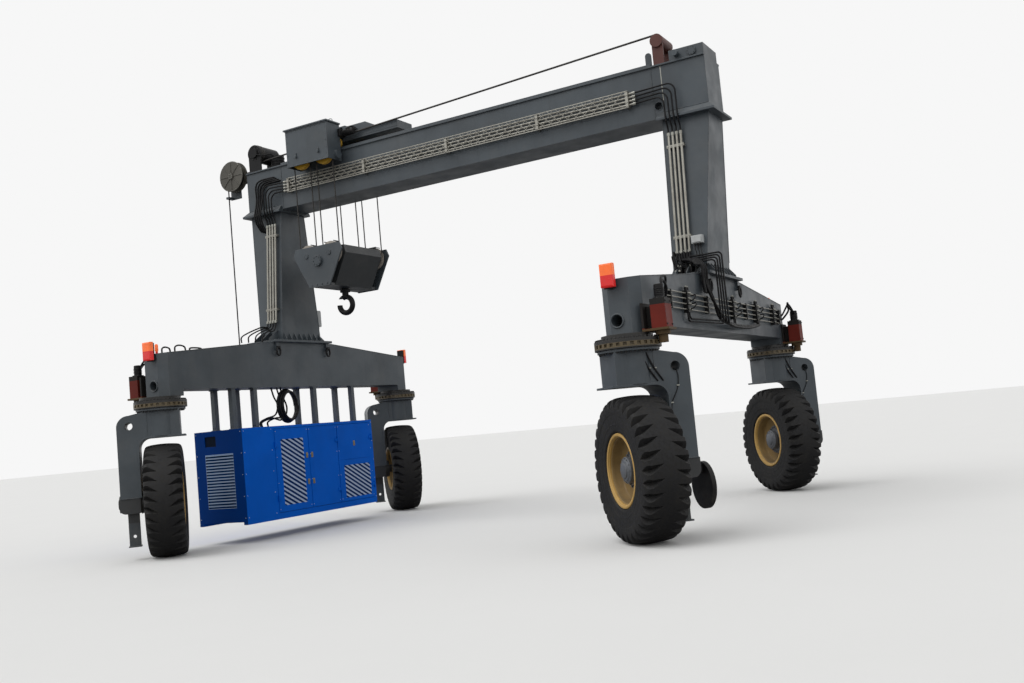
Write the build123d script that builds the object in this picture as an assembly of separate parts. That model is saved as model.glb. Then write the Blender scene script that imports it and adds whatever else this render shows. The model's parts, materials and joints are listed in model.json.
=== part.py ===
from build123d import *
import math
import os

os.makedirs("parts", exist_ok=True)

# Rubber tyred gantry crane. Millimetres, Z up, X across the span, Y the way the machine travels.
# "Front" is -Y, "right" is +X. The four wheels rest turned for crab travel. Pieces are drawn from
# the ground midway between the wheels, and move at the end to an origin on the ground in the
# middle of the whole machine's box.

# Layout of the machine
SPAN = 8440.0
WHEELBASE = 6650.0
CRAB_ANGLE = 45.0

# Fits: free running, pieces that rest on each other, how far a cut runs past a face, how deep
# a welded piece is rooted in the one that carries it
RUNNING_FIT = 0.05
SEAT_GAP = 0.3
CUT_REACH = 5.0
ROOT = 5.0

# Tyres, with places across the tread as shares of the half width, counted from the crown's middle
TYRE_RADIUS = 925.0
TYRE_WIDTH = 600.0
BEAD_RADIUS = 425.0
BEAD_STEP = 4.0
CROWN_SHARE = 0.3
SHOULDER_SHARE = 0.86
SHOULDER_DROP = 25.0
WALL_DROP = 185.0
LOWER_WALL_SHARE = 0.95
LOWER_WALL_RISE = 40.0

# Tread notches: each a slanted V that opens and deepens from a point on the tread to the side wall
NOTCHES_PER_SIDE = 34
NOTCH_START_SHARE = 0.34
NOTCH_WIDTH = 80.0
NOTCH_DEPTH = 100.0
NOTCH_SLANT = 62.0
NOTCH_RUN = 1.35
NOTCH_REACH = 3.2

# Rims and hubs
RIM_FLANGE_RADIUS = 472.0
RIM_FLANGE_PLANE = 247.0
RIM_FLANGE_INSET = 4.0
RIM_LIP_STEP = 10.0
RIM_WALL = 22.0
RIM_TAPER = 60.0
RIM_WEB_THICKNESS = 34.0
RIM_WEB_PLANE = 40.0
RIM_WEB_CONE = 40.0
HUB_RADIUS = 170.0
HUB_REACH = 236.0
HUB_BACK = 150.0
HUB_CAP_RADIUS = 125.0
HUB_CAP_DEPTH = 60.0
HUB_CAP_SHOULDER = 30.0
HUB_CAP_STEP = 8.0
SPINDLE_RADIUS = 80.0
SPINDLE_END_GAP = 20.0

# One-sided forks
FORK_DEPTH = 520.0
FORK_LEG_INNER = 385.0
FORK_LEG_OUTER = 690.0
FORK_TOP = 2400.0
FORK_ARM_BOTTOM = 1980.0
FORK_LEG_BOTTOM = 1010.0
FORK_CORNER = 190.0
FORK_SHOULDER_DROP = 55.0
FORK_SHOULDER_START = 210.0
FORK_EDGE_FLANGE = 26.0
FORK_EDGE_OVERHANG = 22.0
COLUMN_RADIUS = 300.0
COLUMN_FLANGE_RADIUS = 372.0
LASHING_HOLE_RADIUS = 64.0
LASHING_HOLE_REACH = 500.0
LASHING_HOLE_HEIGHT = 2172.0
AXLE_HOUSING_RADIUS = 178.0
AXLE_HOUSING_INNER = 292.0
DRIVE_CASE_OUTER = 712.0
DRIVE_CASE_BOTTOM = 762.0
DRIVE_CASE_HALF = 250.0
DRIVE_CASE_CORNER = 100.0
FOOT_WIDTH = 180.0
FOOT_REACH = 520.0
FOOT_BOTTOM = 235.0
FOOT_THICKNESS = 44.0
FOOT_PLATE = 20.0
FOOT_PLATE_MARGIN = 10.0
FOOT_EYE_RISE = 150.0
FOOT_EYE_RADIUS = 26.0

# Round guard beside the drive at the front right
GUARD_RADIUS = 300.0
GUARD_THICKNESS = 60.0
GUARD_DISH = 34.0
GUARD_WALL = 22.0
GUARD_REACH = 815.0
GUARD_HEIGHT = 640.0
GUARD_ARM_HALF = 70.0
GUARD_ARM_LOW = 40.0
GUARD_ARM_HIGH = 90.0

# Slew rings and their seats
SLEW_GAP = 6.0
TOP_FLANGE_RADIUS = 395.0
TOP_FLANGE_THICKNESS = 30.0
SLEW_RADIUS = 425.0
SLEW_THICKNESS = 118.0
SLEW_POCKETS = 30
POCKET_WIDTH = 46.0
POCKET_HEIGHT = 40.0
POCKET_DEPTH = 24.0
POCKET_RISE = 30.0
KING_PIN_RADIUS = 110.0
KING_PIN_HEIGHT = 90.0
KING_PIN_END_GAP = 10.0
SEAT_RADIUS = 330.0

# Side beams
BEAM_WIDTH = 540.0
BEAM_HALF_LENGTH = 3475.0
BEAM_BOTTOM = 2730.0
BEAM_END_TOP = 3335.0
BEAM_MID_TOP = 3580.0
BEAM_FLAT_HALF = 900.0
BEAM_END_CHAMFER = 125.0
END_PAD_BOTTOM = 2620.0
END_PAD_LENGTH = 420.0
SOCKET_RADIUS = 75.0
SOCKET_COLLAR_RADIUS = 96.0
SOCKET_COLLAR_PROUD = 12.0
SOCKET_DEPTH = 300.0
SOCKET_HEIGHT = 2800.0
SOCKET_OFFSET = 45.0

# Legs and their base plates
LEG_INNER = 293.0
LEG_OUTER_BASE = 235.0
LEG_OUTER_TOP = 458.0
LEG_HALF_BASE = 560.0
LEG_HALF_TOP = 328.0
BASE_PLATE_HALF_X = 365.0
BASE_PLATE_HALF_Y = 810.0
BASE_PLATE_THICKNESS = 42.0
GUSSET_HEIGHT = 215.0
GUSSET_THICKNESS = 16.0
GUSSET_ROOT = 35.0
GUSSET_EDGE = 28.0
GUSSET_MARGIN = 10.0
SIDE_GUSSETS = 8
SIDE_GUSSET_INSET = 60.0
END_GUSSET_PLACES = (-180.0, 0.0, 180.0)
HOOK_BRACKET_REACH = 720.0
HOOK_BRACKET_WIDTH = 70.0
HOOK_BRACKET_DROP = 150.0
HOOK_BRACKET_THICKNESS = 40.0

# Girder and heads
GIRDER_HALF_WIDTH = 354.0
GIRDER_BOTTOM = 6157.0
GIRDER_TOP = 6984.0
HEAD_OVERHANG = 488.0
HEAD_INNER = 390.0
HEAD_DROP = 12.0
TOP_FLANGE_PLATE = 26.0
TOP_FLANGE_OVERHANG = 30.0
RAIL_REACH = 330.0
RAIL_WIDTH = 50.0
RAIL_HEIGHT = 40.0
COLLAR_FLARE = 95.0
COLLAR_HEIGHT = 95.0
COLLAR_LIP = 36.0
COLLAR_PLATE = 60.0
HEAD_PORT_RADIUS = 60.0
HEAD_PORT_DEPTH = 120.0
HEAD_PORT_X = 3900.0
HEAD_PORT_HEIGHT = 6357.0

# Raised block on the right head, with its round cover and small motor
END_CAP_LENGTH = 560.0
END_CAP_HEIGHT = 170.0
END_CAP_BACK = 283.0
END_COVER_RADIUS = 74.0
END_COVER_PROUD = 26.0
END_COVER_INSET = 190.0
END_MOTOR_RADIUS = 48.0
END_MOTOR_LENGTH = 150.0
END_MOTOR_INSET = 430.0
END_MOTOR_SINK = 40.0

# Rope guide plate near the tail roller
GUIDE_X = 3760.0
GUIDE_HALF_WIDTH = 50.0
GUIDE_HEIGHT = 275.0
GUIDE_THICKNESS = 22.0
GUIDE_PLANE = -215.0

# Trolley, at its rest place along the girder
TROLLEY_X = -2790.0
SHEAVE_SPACING = 530.0
SHEAVE_RADIUS = 210.0
SHEAVE_PITCH_RADIUS = 188.0
SHEAVE_WIDTH = 70.0
SHEAVE_LIP = 8.0
SHEAVE_AXIS_DROP = 85.0
SHEAVE_BORE = 30.0
ROPE_PLANE = 640.0
ROPE_RADIUS = 11.0
BOX_END_CLEARANCE = 4.0
BOX_BELOW_AXIS = 165.0
BOX_HEIGHT = 690.0
BOX_INNER = 412.0
BOX_OUTER = 800.0
BOX_WALL = 8.0
ROOF_THICKNESS = 26.0
ROOF_OVERHANG = 28.0
EYE_PLACES = (-400.0, 400.0)
EYE_RADIUS = 34.0
EYE_WIRE = 8.0
KEEPER_RADIUS = 24.0
KEEPER_PROUD = 36.0
KEEPER_WIDTH = 26.0
KEEPER_RISE = 70.0
BUFFER_RADIUS = 82.0
BUFFER_LENGTH = 60.0
BUFFER_RISE = 100.0
BUFFER_REACH = 560.0
TROLLEY_WHEEL_RADIUS = 95.0
TROLLEY_WHEEL_WIDTH = 56.0
TROLLEY_WHEEL_INSET = 130.0
TROLLEY_AXLE_RADIUS = 30.0
SLOT_INNER = 235.0
MID_BOX_LENGTH = 620.0
MID_BOX_OVERLAP = 60.0
MID_BOX_SLOPE = 150.0
LOW_BOX_LENGTH = 560.0
LOW_BOX_HEIGHT = 115.0
PLATFORM_RISE = 205.0
PLATFORM_THICKNESS = 35.0
CROSS_MEMBER_HALF = 110.0

# Motor at the trolley's right end, clear of the haul rope
TROLLEY_MOTOR_RADIUS = 54.0
TROLLEY_MOTOR_LENGTH = 240.0
TROLLEY_MOTOR_PLANE = -358.0
TROLLEY_MOTOR_RISE = 75.0
MOTOR_FOOT_LENGTH = 46.0
MOTOR_FOOT_HALF = 66.0
VALVE_HALF = 34.0
VALVE_HEIGHT = 78.0

# Hook block, hung by its sheave axis
BLOCK_SHEAVE_HEIGHT = 5060.0
CHEEK_RISE = 155.0
CHEEK_DROP = 595.0
CHEEK_HALF_TOP = 565.0
CHEEK_HALF_BOTTOM = 235.0
CHEEK_CORNER = 130.0
CHEEK_CORNER_SLOPE = 52.0
CHEEK_OUTER = 730.0
CHEEK_THICKNESS = 30.0
BLOCK_BODY_HALF = 545.0
BLOCK_BODY_RISE = 130.0
BLOCK_BODY_FLOOR = 10.0
BLOCK_BODY_INSET = 20.0
BLOCK_BODY_SHOULDER = 60.0
BLOCK_BODY_SLOPE = 30.0
BLOCK_BODY_EDGE = 40.0
BLOCK_TIE_HEIGHT = 40.0
BLOCK_BOSS_RADIUS = 100.0
BLOCK_BOSS_PROUD = 40.0
BLOCK_BOSS_DROP = 120.0
BLOCK_PIN_RADIUS = 38.0
PIN_CAP_RADIUS = 50.0
PIN_CAP_PROUD = 14.0
HOOK_STEM_RADIUS = 60.0
HOOK_STEM_DEPTH = 130.0
HOOK_STEM_END_GAP = 20.0
HOOK_NUT_RADIUS = 95.0
HOOK_NUT_DROP = 60.0
HOOK_NUT_GAP = 8.0
HOOK_RING_RADIUS = 150.0
HOOK_WIRE_RADIUS = 50.0
HOOK_DROP = 300.0
HOOK_MOUTH_LOW = 5.0
HOOK_MOUTH_HIGH = 125.0
HOOK_MOUTH_INNER = 40.0
HOOK_MOUTH_HALF = 80.0

# Haul gear on the girder
HAUL_ROPE_RADIUS = 16.0
HAUL_ROPE_Y = -270.0
TAIL_ROLLER_X = 3970.0
TAIL_ROLLER_RADIUS = 105.0
TAIL_ROLLER_RISE = 390.0
TAIL_ROLLER_FRONT = 90.0
TAIL_ROLLER_BACK = 380.0
TAIL_BRACKET_HALF = 90.0
TAIL_BRACKET_THICKNESS = 30.0
TAIL_BRACKET_INSET = 30.0
HAUL_DRUM_X = -4480.0
HAUL_DRUM_RADIUS = 165.0
HAUL_DRUM_RISE = 370.0
HAUL_DRUM_FRONT = -320.0
HAUL_DRUM_BACK = 160.0
DRUM_STAND_THICKNESS = 30.0
DRUM_STAND_HALF = 150.0
DRUM_CAP_RADIUS = 92.0
DRUM_CAP_PROUD = 34.0
WINCH_BASE_FRONT = -200.0
WINCH_BASE_HEIGHT = 60.0
WINCH_BASE_LENGTH = 630.0
TANK_RADIUS = 125.0
TANK_HEIGHT = 230.0
TANK_OFFSET = 345.0
TANK_PLANE = -70.0
TANK_RIB = 9.0
TANK_RIB_HEIGHT = 16.0
TANK_RIBS = 3
TRAY_PLANE = 130.0
TRAY_HALF_LENGTH = 3560.0
TRAY_HEIGHT = 165.0
TRAY_BAR = 14.0
TRAY_BAR_PITCH = 140.0

# Cable reel
REEL_X = -5080.0
REEL_HEIGHT = 7030.0
REEL_RADIUS = 300.0
REEL_FRONT = -400.0
REEL_WIDTH = 150.0
REEL_CORE_RADIUS = 150.0
REEL_FLANGE = 12.0
REEL_BOSS_RADIUS = 60.0
REEL_BOSS_PROUD = 24.0
REEL_BOSS_ROOT = 15.0
REEL_RIB_COUNT = 8
REEL_RIB_THICKNESS = 10.0
REEL_RIB_PROUD = 9.0
REEL_RIB_MARGIN = 22.0
REEL_AXLE_RADIUS = 30.0
REEL_AXLE_START = 20.0
BRAKE_RING_RADIUS = 282.0
BRAKE_RING_THICKNESS = 16.0
REEL_BACK_GAP = 30.0
REEL_PLATE_THICKNESS = 24.0
REEL_PLATE_REACH = 90.0
REEL_PLATE_DROP = 160.0
REEL_PLATE_RISE = 60.0
CABLE_RADIUS = 12.0
CABLE_FOOT = 3300.0
CABLE_EYE_HALF = 40.0
CABLE_EYE_HEIGHT = 40.0
CABLE_EYE_DROP = 420.0
CABLE_ARM_TOP = 100.0
CABLE_ARM_REACH = 60.0
CABLE_POST_HALF_X = 45.0
CABLE_POST_HALF_Y = 35.0
CABLE_POST_HEIGHT = 60.0

# Power pack under the left beam
PACK_HALF_WIDTH = 570.0
PACK_FRONT = -2090.0
PACK_BACK = 1600.0
PACK_BOTTOM = 380.0
PACK_TOP = 2000.0
PACK_WALL = 30.0
SKID_BOTTOM = 330.0
SKID_RAIL_WIDTH = 90.0
DOOR_THICKNESS = 32.0
DOOR_PROUD = 6.0
DOOR_BOTTOM = 440.0
DOOR_TOP = 1950.0
DOOR_GAP = 6.0
HINGE_REACH = 20.0
HINGE_INSET = 4.0
HINGE_PIN_RADIUS = 6.0
HINGE_PIN_COVER = 4.0
HINGE_KNUCKLE_RADIUS = 12.0
HINGE_KNUCKLE_HALF = 30.0
HINGE_LUG_HEIGHT = 35.0
HINGE_LUG_ROOT = 10.0
HINGE_TAB = 70.0
HINGE_TAB_ROOT = 2.0
HINGE_HEIGHTS = (700.0, 1650.0)
GRILLE_BOTTOM = 640.0
GRILLE_TOP = 1580.0
GRILLE_HALF = 330.0
GRILLE_SLOTS = 18
GRILLE_OPEN_SHARE = 0.5
RECESS_LEFT = 330.0
RECESS_RIGHT = 60.0
RECESS_BOTTOM = 1725.0
RECESS_TOP = 1905.0
RECESS_DEPTH = 16.0
LOUVRE_DEPTH = 14.0
LOUVRE_PITCH = 84.0
LOUVRE_BLADE = 40.0
LOUVRE_SLOPE = 28.0
DOOR_SEAM_WIDTH = 6.0
DOOR_SEAM_DEPTH = 4.0
DOOR_SEAM_HEIGHT = 1245.0
HANGER_WIDTH = 90.0
HANGER_INSET = 10.0
HANGER_PLACES = (-1900.0, -1350.0, 300.0, 1480.0)
ENGINE_LEFT = 330.0
ENGINE_RIGHT = 300.0
ENGINE_FRONT = -1100.0
ENGINE_BACK = 700.0
ENGINE_HEIGHT = 940.0

# Pipes and clamps
PIPE_COUNT = 4
PIPE_RADIUS = 17.0
PIPE_PITCH = 58.0
PIPE_STAND_OFF = 62.0
PIPE_HEIGHT = 6470.0
PIPE_END_REACH = 110.0
PIPE_BRACKETS = (-3600.0, -1800.0, 0.0, 1800.0, 3420.0)
BRACKET_WIDTH = 46.0
BRACKET_COVER = 30.0
BRACKET_MARGIN = 50.0
GUARD_BAR = 14.0
GUARD_LAYER = 6.0
LATTICE_PITCH = 156.0
LATTICE_BAR = 9.0
LEG_PIPE_RADIUS = 20.0
LEG_PIPE_INNER = 190.0
LEG_PIPE_PITCH = 66.0
LEG_PIPE_BOTTOM = 3980.0
LEG_PIPE_TOP = 5860.0
LEG_PIPE_STAND_OFF = 52.0
LEG_CLAMP_LOW = 240.0
LEG_CLAMP_HIGH = 200.0
LEG_CLAMP_HALF_HEIGHT = 22.0
LEG_CLAMP_MARGIN = 40.0
LEG_CLAMP_COVER = 17.0
BEAM_PIPE_RADIUS = 9.0
BEAM_PIPE_PITCH = 75.0
BEAM_PIPE_STAND_OFF = 45.0
BEAM_PIPE_BOTTOM = 2985.0
BEAM_PIPE_FRONT = -2650.0
BEAM_PIPE_BACK = 3080.0
VALVE_PLACES = (-1800.0, 300.0, 1550.0, 2600.0)
VALVE_BLOCK_HALF = 60.0
VALVE_BLOCK_COVER = 28.0
VALVE_BLOCK_MARGIN = 40.0
SPOOL_RADIUS = 22.0
SPOOL_HEIGHT = 46.0

# Hoses: round the two knees, and from the foot of the right leg down to the valves
HOSE_RADIUS = 13.0
HOSE_END_RUN = 70.0
KNEE_CLEARANCE = 17.0
KNEE_BEND = 140.0
KNEE_LOW = 50.0
KNEE_END = 110.0
DROP_BEND = 60.0
DROP_OUT = 90.0
DROP_PITCH = 36.0
DROP_FRONT = 650.0
DROP_LANE = 3790.0
DROP_LANE_PITCH = 32.0

# Steering drives and lamps
DRIVE_OFFSET = 490.0
DRIVE_WIDTH = 200.0
DRIVE_LENGTH = 220.0
DRIVE_BOTTOM = 2650.0
DRIVE_TOP = 3020.0
DRIVE_PLATE = 30.0
DRIVE_PLATE_MARGIN = 30.0
DRIVE_BACK_DROP = 40.0
DRIVE_WEB_DROP = 80.0
DRIVE_MOTOR_RADIUS = 60.0
DRIVE_MOTOR_HEIGHT = 180.0
PINION_RADIUS = 60.0
PINION_DROP = 150.0
PINION_COVER_RADIUS = 95.0
PINION_COVER_HEIGHT = 50.0
LAMP_OFFSET = 75.0
LAMP_WIDTH = 180.0
LAMP_DEPTH = 80.0
LAMP_BOTTOM = 3225.0
LAMP_HEIGHT = 300.0
LAMP_CORNER = 22.0
LAMP_BACK_DEPTH = 34.0
LAMP_BACK_MARGIN = 14.0
LAMP_STALK = 40.0
LAMP_STALK_HALF = 30.0
LAMP_STALK_HEIGHT = 110.0

# Boxes on the legs: offsets from the leg's middle, reach over its face, heights
LEFT_BOX = {"near": 60.0, "far": 260.0, "reach": 150.0, "low": 3920.0, "high": 4240.0}
RIGHT_BOX = {"near": 60.0, "far": 230.0, "reach": 110.0, "low": 4080.0, "high": 4200.0}

# Door leaves of the power pack: name, front edge, rear edge, hinge side along Y
DOORS = (
    ("front", -1290.0, -375.0, -1),
    ("middle", -375.0, 470.0, 1),
    ("rear", 470.0, 1540.0, 1),
)

# Louvred panels by door: front edge, rear edge, low, high
LOUVRES = {
    "front": (-1130.0, -520.0, 560.0, 1750.0),
    "rear": (630.0, 1440.0, 510.0, 1140.0),
}

# Hoses from the right leg's foot: lowest height, valve block it ends at, offset from its middle
DROP_HOSES = (
    (2860.0, 0, 30.0),
    (2820.0, 0, -30.0),
    (2860.0, 1, -30.0),
    (2820.0, 1, 30.0),
)

# Corners of the machine: name, side across the span, side along the travel
CORNERS = (
    ("front_left", -1, -1),
    ("front_right", 1, -1),
    ("rear_left", -1, 1),
    ("rear_right", 1, 1),
)
SIDES = (("left", -1), ("right", 1))

# Values that follow from the sizes above
HALF_SPAN = SPAN / 2
HALF_BASE = WHEELBASE / 2
BOX_HALF_LENGTH = SHEAVE_SPACING / 2 + SHEAVE_RADIUS + BOX_END_CLEARANCE + BOX_WALL
SLEW_BOTTOM = FORK_TOP + TOP_FLANGE_THICKNESS + SLEW_GAP
SLEW_TOP = SLEW_BOTTOM + SLEW_THICKNESS
HEAD_END = HALF_SPAN + HEAD_OVERHANG
GIRDER_END = HALF_SPAN - HEAD_INNER
DECK = GIRDER_TOP + TOP_FLANGE_PLATE
RAIL_TOP = DECK + RAIL_HEIGHT
SHEAVE_AXIS_HEIGHT = DECK - SHEAVE_AXIS_DROP
BOX_BOTTOM = SHEAVE_AXIS_HEIGHT - BOX_BELOW_AXIS
BOX_TOP = BOX_BOTTOM + BOX_HEIGHT
PLATFORM_TOP = DECK + PLATFORM_RISE
LOW_BOX_TOP = PLATFORM_TOP + LOW_BOX_HEIGHT
TROLLEY_MOTOR_HEIGHT = PLATFORM_TOP + TROLLEY_MOTOR_RISE
HAUL_DRUM_HEIGHT = DECK + HAUL_DRUM_RISE
TAIL_ROLLER_HEIGHT = DECK + TAIL_ROLLER_RISE
CHEEK_TOP = BLOCK_SHEAVE_HEIGHT + CHEEK_RISE
CHEEK_BOTTOM = BLOCK_SHEAVE_HEIGHT - CHEEK_DROP
HOOK_CENTRE_HEIGHT = CHEEK_BOTTOM - HOOK_DROP
CABLE_X = REEL_X - REEL_CORE_RADIUS - CABLE_RADIUS - SEAT_GAP
CABLE_Y = REEL_FRONT + REEL_WIDTH / 2
LEG_BASE = BEAM_MID_TOP + BASE_PLATE_THICKNESS
PACK_FACE = -HALF_SPAN + PACK_HALF_WIDTH
HINGE_X = PACK_FACE + HINGE_REACH
COLLAR_HALF = GIRDER_HALF_WIDTH + COLLAR_FLARE
PIPE_Y = -GIRDER_HALF_WIDTH - PIPE_STAND_OFF
BEAM_PIPE_X = HALF_SPAN + BEAM_WIDTH / 2 + BEAM_PIPE_STAND_OFF
ARC_SHARE = 1 - math.sqrt(0.5)

PARTS = {}


def block(x0, x1, y0, y1, z0, z1):
    """Box between two corners."""
    size = Box(abs(x1 - x0), abs(y1 - y0), abs(z1 - z0))
    return Pos((x0 + x1) / 2, (y0 + y1) / 2, (z0 + z1) / 2) * size


def rod_x(x0, x1, y, z, radius):
    """Round bar along X."""
    return Pos((x0 + x1) / 2, y, z) * Rot(0, 90, 0) * Cylinder(radius, abs(x1 - x0))


def rod_y(y0, y1, x, z, radius):
    """Round bar along Y."""
    return Pos(x, (y0 + y1) / 2, z) * Rot(90, 0, 0) * Cylinder(radius, abs(y1 - y0))


def rod_z(z0, z1, x, y, radius):
    """Round bar along Z."""
    return Pos(x, y, (z0 + z1) / 2) * Cylinder(radius, abs(z1 - z0))


def side_profile(points, y0, y1):
    """Solid with an outline in the XZ plane, carried along Y from y0 to y1."""
    face = make_face(Polyline(*[(x, 0, z) for x, z in points], close=True))
    return Pos(0, y0, 0) * extrude(face, amount=y1 - y0, dir=(0, 1, 0))


def front_profile(points, x0, x1):
    """Solid with an outline in the YZ plane, carried along X from x0 to x1."""
    face = make_face(Polyline(*[(0, y, z) for y, z in points], close=True))
    return Pos(x0, 0, 0) * extrude(face, amount=x1 - x0, dir=(1, 0, 0))


def spun_x(points, height=0.0):
    """Ring with an outline of (place along X, radius), turned about an axle at a height."""
    face = make_face(Polyline(*[(u, 0, height + r) for u, r in points], close=True))
    return revolve(face, Axis((0, 0, height), (1, 0, 0)), 360)


def spun_y(points):
    """Ring with an outline of (place along Y, radius), turned about the Y axis."""
    face = make_face(Polyline(*[(0, v, r) for v, r in points], close=True))
    return revolve(face, Axis((0, 0, 0), (0, 1, 0)), 360)


def tapered(low, high):
    """Solid between two rectangles, each given as x0, x1, y0, y1, z."""
    faces = []
    for x0, x1, y0, y1, z in (low, high):
        faces.append(make_face(Polyline((x0, y0, z), (x1, y0, z), (x1, y1, z), (x0, y1, z), close=True)))
    return loft(faces, ruled=True)


def hose(points, bend):
    """Round hose along straight runs joined by bends."""
    path = FilletPolyline(*points, radius=bend)
    start = Plane(origin=path @ 0, z_dir=path % 0)
    return sweep(start * Circle(HOSE_RADIUS), path=path)


def fuse(shapes):
    """One solid from pieces that touch or overlap."""
    first, *rest = shapes
    return first.fuse(*rest).clean() if rest else first


def place_corner(shape, side_x, side_y):
    """Piece from a fork's own frame, where +X is its outer side, to its corner of the machine."""
    turn = CRAB_ANGLE if side_x > 0 else CRAB_ANGLE + 180.0
    return Pos(side_x * HALF_SPAN, side_y * HALF_BASE, 0) * Rot(0, 0, turn) * shape


# Wheels, in the fork's own frame
def tread_notch():
    """Cutter for one V notch on the +X side, with the wheel's axle through the origin."""
    start = TYRE_WIDTH / 2 * NOTCH_START_SHARE
    shoulder = TYRE_WIDTH / 2 * SHOULDER_SHARE
    valley = Vector(shoulder - start, -NOTCH_SLANT, -NOTCH_DEPTH)
    top = TYRE_RADIUS + NOTCH_REACH * NOTCH_DEPTH
    half_width = NOTCH_REACH * NOTCH_WIDTH / 2
    opening = make_face(
        Polyline(
            (start, NOTCH_SLANT, TYRE_RADIUS),
            (start, NOTCH_SLANT + half_width, top),
            (start, NOTCH_SLANT - half_width, top),
            close=True,
        )
    )
    return extrude(opening, amount=valley.length * NOTCH_RUN, dir=valley.normalized())


def tyre():
    half = TYRE_WIDTH / 2
    bead = RIM_FLANGE_PLANE - RIM_FLANGE_INSET - SEAT_GAP
    side = [
        (half * CROWN_SHARE, TYRE_RADIUS),
        (half * SHOULDER_SHARE, TYRE_RADIUS - SHOULDER_DROP),
        (half, TYRE_RADIUS - WALL_DROP),
        (half * LOWER_WALL_SHARE, RIM_FLANGE_RADIUS + LOWER_WALL_RISE),
        (bead, RIM_FLANGE_RADIUS + BEAD_STEP),
        (bead, BEAD_RADIUS + SEAT_GAP),
    ]
    carcass = spun_x([(-x, r) for x, r in reversed(side)] + side)
    notch = tread_notch()
    step = 360.0 / NOTCHES_PER_SIDE
    cutters = []
    for i in range(NOTCHES_PER_SIDE):
        cutters.append(Rot(i * step, 0, 0) * notch)
        cutters.append(Rot((i + 0.5) * step, 0, 0) * mirror(notch, about=Plane.YZ))
    return Pos(0, 0, TYRE_RADIUS) * carcass.cut(*cutters)


def rim():
    plane = RIM_FLANGE_PLANE
    lip = plane + RIM_WALL
    seat = plane - RIM_FLANGE_INSET
    inner = BEAD_RADIUS - RIM_WALL
    web = -RIM_WEB_PLANE
    web_back = web - RIM_WEB_THICKNESS
    root = HUB_RADIUS - RIM_LIP_STEP
    outline = [
        (-lip, inner + RIM_LIP_STEP),
        (-lip, RIM_FLANGE_RADIUS),
        (-seat, RIM_FLANGE_RADIUS),
        (-seat, BEAD_RADIUS),
        (seat, BEAD_RADIUS),
        (seat, RIM_FLANGE_RADIUS),
        (lip, RIM_FLANGE_RADIUS),
        (lip, inner + RIM_LIP_STEP),
        (plane - RIM_TAPER, inner),
        (web + RIM_WEB_CONE, inner),
        (web, root),
        (web_back, root),
        (web_back + RIM_WEB_CONE / 2, inner),
        (-plane + RIM_TAPER, inner),
    ]
    bore = SPINDLE_RADIUS + RUNNING_FIT
    cap = -HUB_REACH + HUB_CAP_DEPTH
    hub = [
        (-HUB_REACH, 0),
        (-HUB_REACH, HUB_CAP_RADIUS),
        (-HUB_REACH + HUB_CAP_SHOULDER, HUB_RADIUS - HUB_CAP_STEP),
        (cap, HUB_RADIUS),
        (HUB_BACK, HUB_RADIUS),
        (HUB_BACK, bore),
        (cap, bore),
        (cap, 0),
    ]
    return fuse([spun_x(outline, TYRE_RADIUS), spun_x(hub, TYRE_RADIUS)])


def fork_edge(arm_bottom, leg_inner, corner):
    """Inner edge of the fork from its leg's foot up to the arm's start under the column."""
    turn = ARC_SHARE * corner
    return [
        Line((leg_inner, 0, FORK_LEG_BOTTOM), (leg_inner, 0, arm_bottom - corner)),
        ThreePointArc(
            (leg_inner, 0, arm_bottom - corner),
            (leg_inner - turn, 0, arm_bottom - turn),
            (leg_inner - corner, 0, arm_bottom),
        ),
    ]


def fork_body():
    """Arm and leg of the fork as one plate-built box."""
    top = FORK_TOP - FORK_SHOULDER_DROP
    turn = ARC_SHARE * FORK_CORNER
    start = FORK_LEG_OUTER - FORK_CORNER
    edge = [
        Line((-COLUMN_RADIUS, 0, FORK_ARM_BOTTOM), (-COLUMN_RADIUS, 0, FORK_TOP)),
        Line((-COLUMN_RADIUS, 0, FORK_TOP), (FORK_SHOULDER_START, 0, FORK_TOP)),
        Line((FORK_SHOULDER_START, 0, FORK_TOP), (start, 0, top)),
        ThreePointArc(
            (start, 0, top),
            (FORK_LEG_OUTER - turn, 0, top - turn),
            (FORK_LEG_OUTER, 0, top - FORK_CORNER),
        ),
        Line((FORK_LEG_OUTER, 0, top - FORK_CORNER), (FORK_LEG_OUTER, 0, FORK_LEG_BOTTOM)),
        Line((FORK_LEG_OUTER, 0, FORK_LEG_BOTTOM), (FORK_LEG_INNER, 0, FORK_LEG_BOTTOM)),
        *fork_edge(FORK_ARM_BOTTOM, FORK_LEG_INNER, FORK_CORNER),
        Line((FORK_LEG_INNER - FORK_CORNER, 0, FORK_ARM_BOTTOM), (-COLUMN_RADIUS, 0, FORK_ARM_BOTTOM)),
    ]
    return Pos(0, -FORK_DEPTH / 2, 0) * extrude(make_face(edge), amount=FORK_DEPTH, dir=(0, 1, 0))


def fork_flange():
    """Wider strip that follows the fork's inner edge over the wheel."""
    low = FORK_ARM_BOTTOM - FORK_EDGE_FLANGE
    inner = FORK_LEG_INNER - FORK_EDGE_FLANGE
    tail = -COLUMN_FLANGE_RADIUS
    corner_end = FORK_LEG_INNER - FORK_CORNER
    edge = [
        *fork_edge(FORK_ARM_BOTTOM, FORK_LEG_INNER, FORK_CORNER),
        Line((corner_end, 0, FORK_ARM_BOTTOM), (tail, 0, FORK_ARM_BOTTOM)),
        Line((tail, 0, FORK_ARM_BOTTOM), (tail, 0, low)),
        Line((tail, 0, low), (corner_end, 0, low)),
        *fork_edge(low, inner, FORK_CORNER - FORK_EDGE_FLANGE),
        Line((inner, 0, FORK_LEG_BOTTOM), (FORK_LEG_INNER, 0, FORK_LEG_BOTTOM)),
    ]
    half = FORK_DEPTH / 2 + FORK_EDGE_OVERHANG
    return Pos(0, -half, 0) * extrude(make_face(edge), amount=2 * half, dir=(0, 1, 0))


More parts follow.
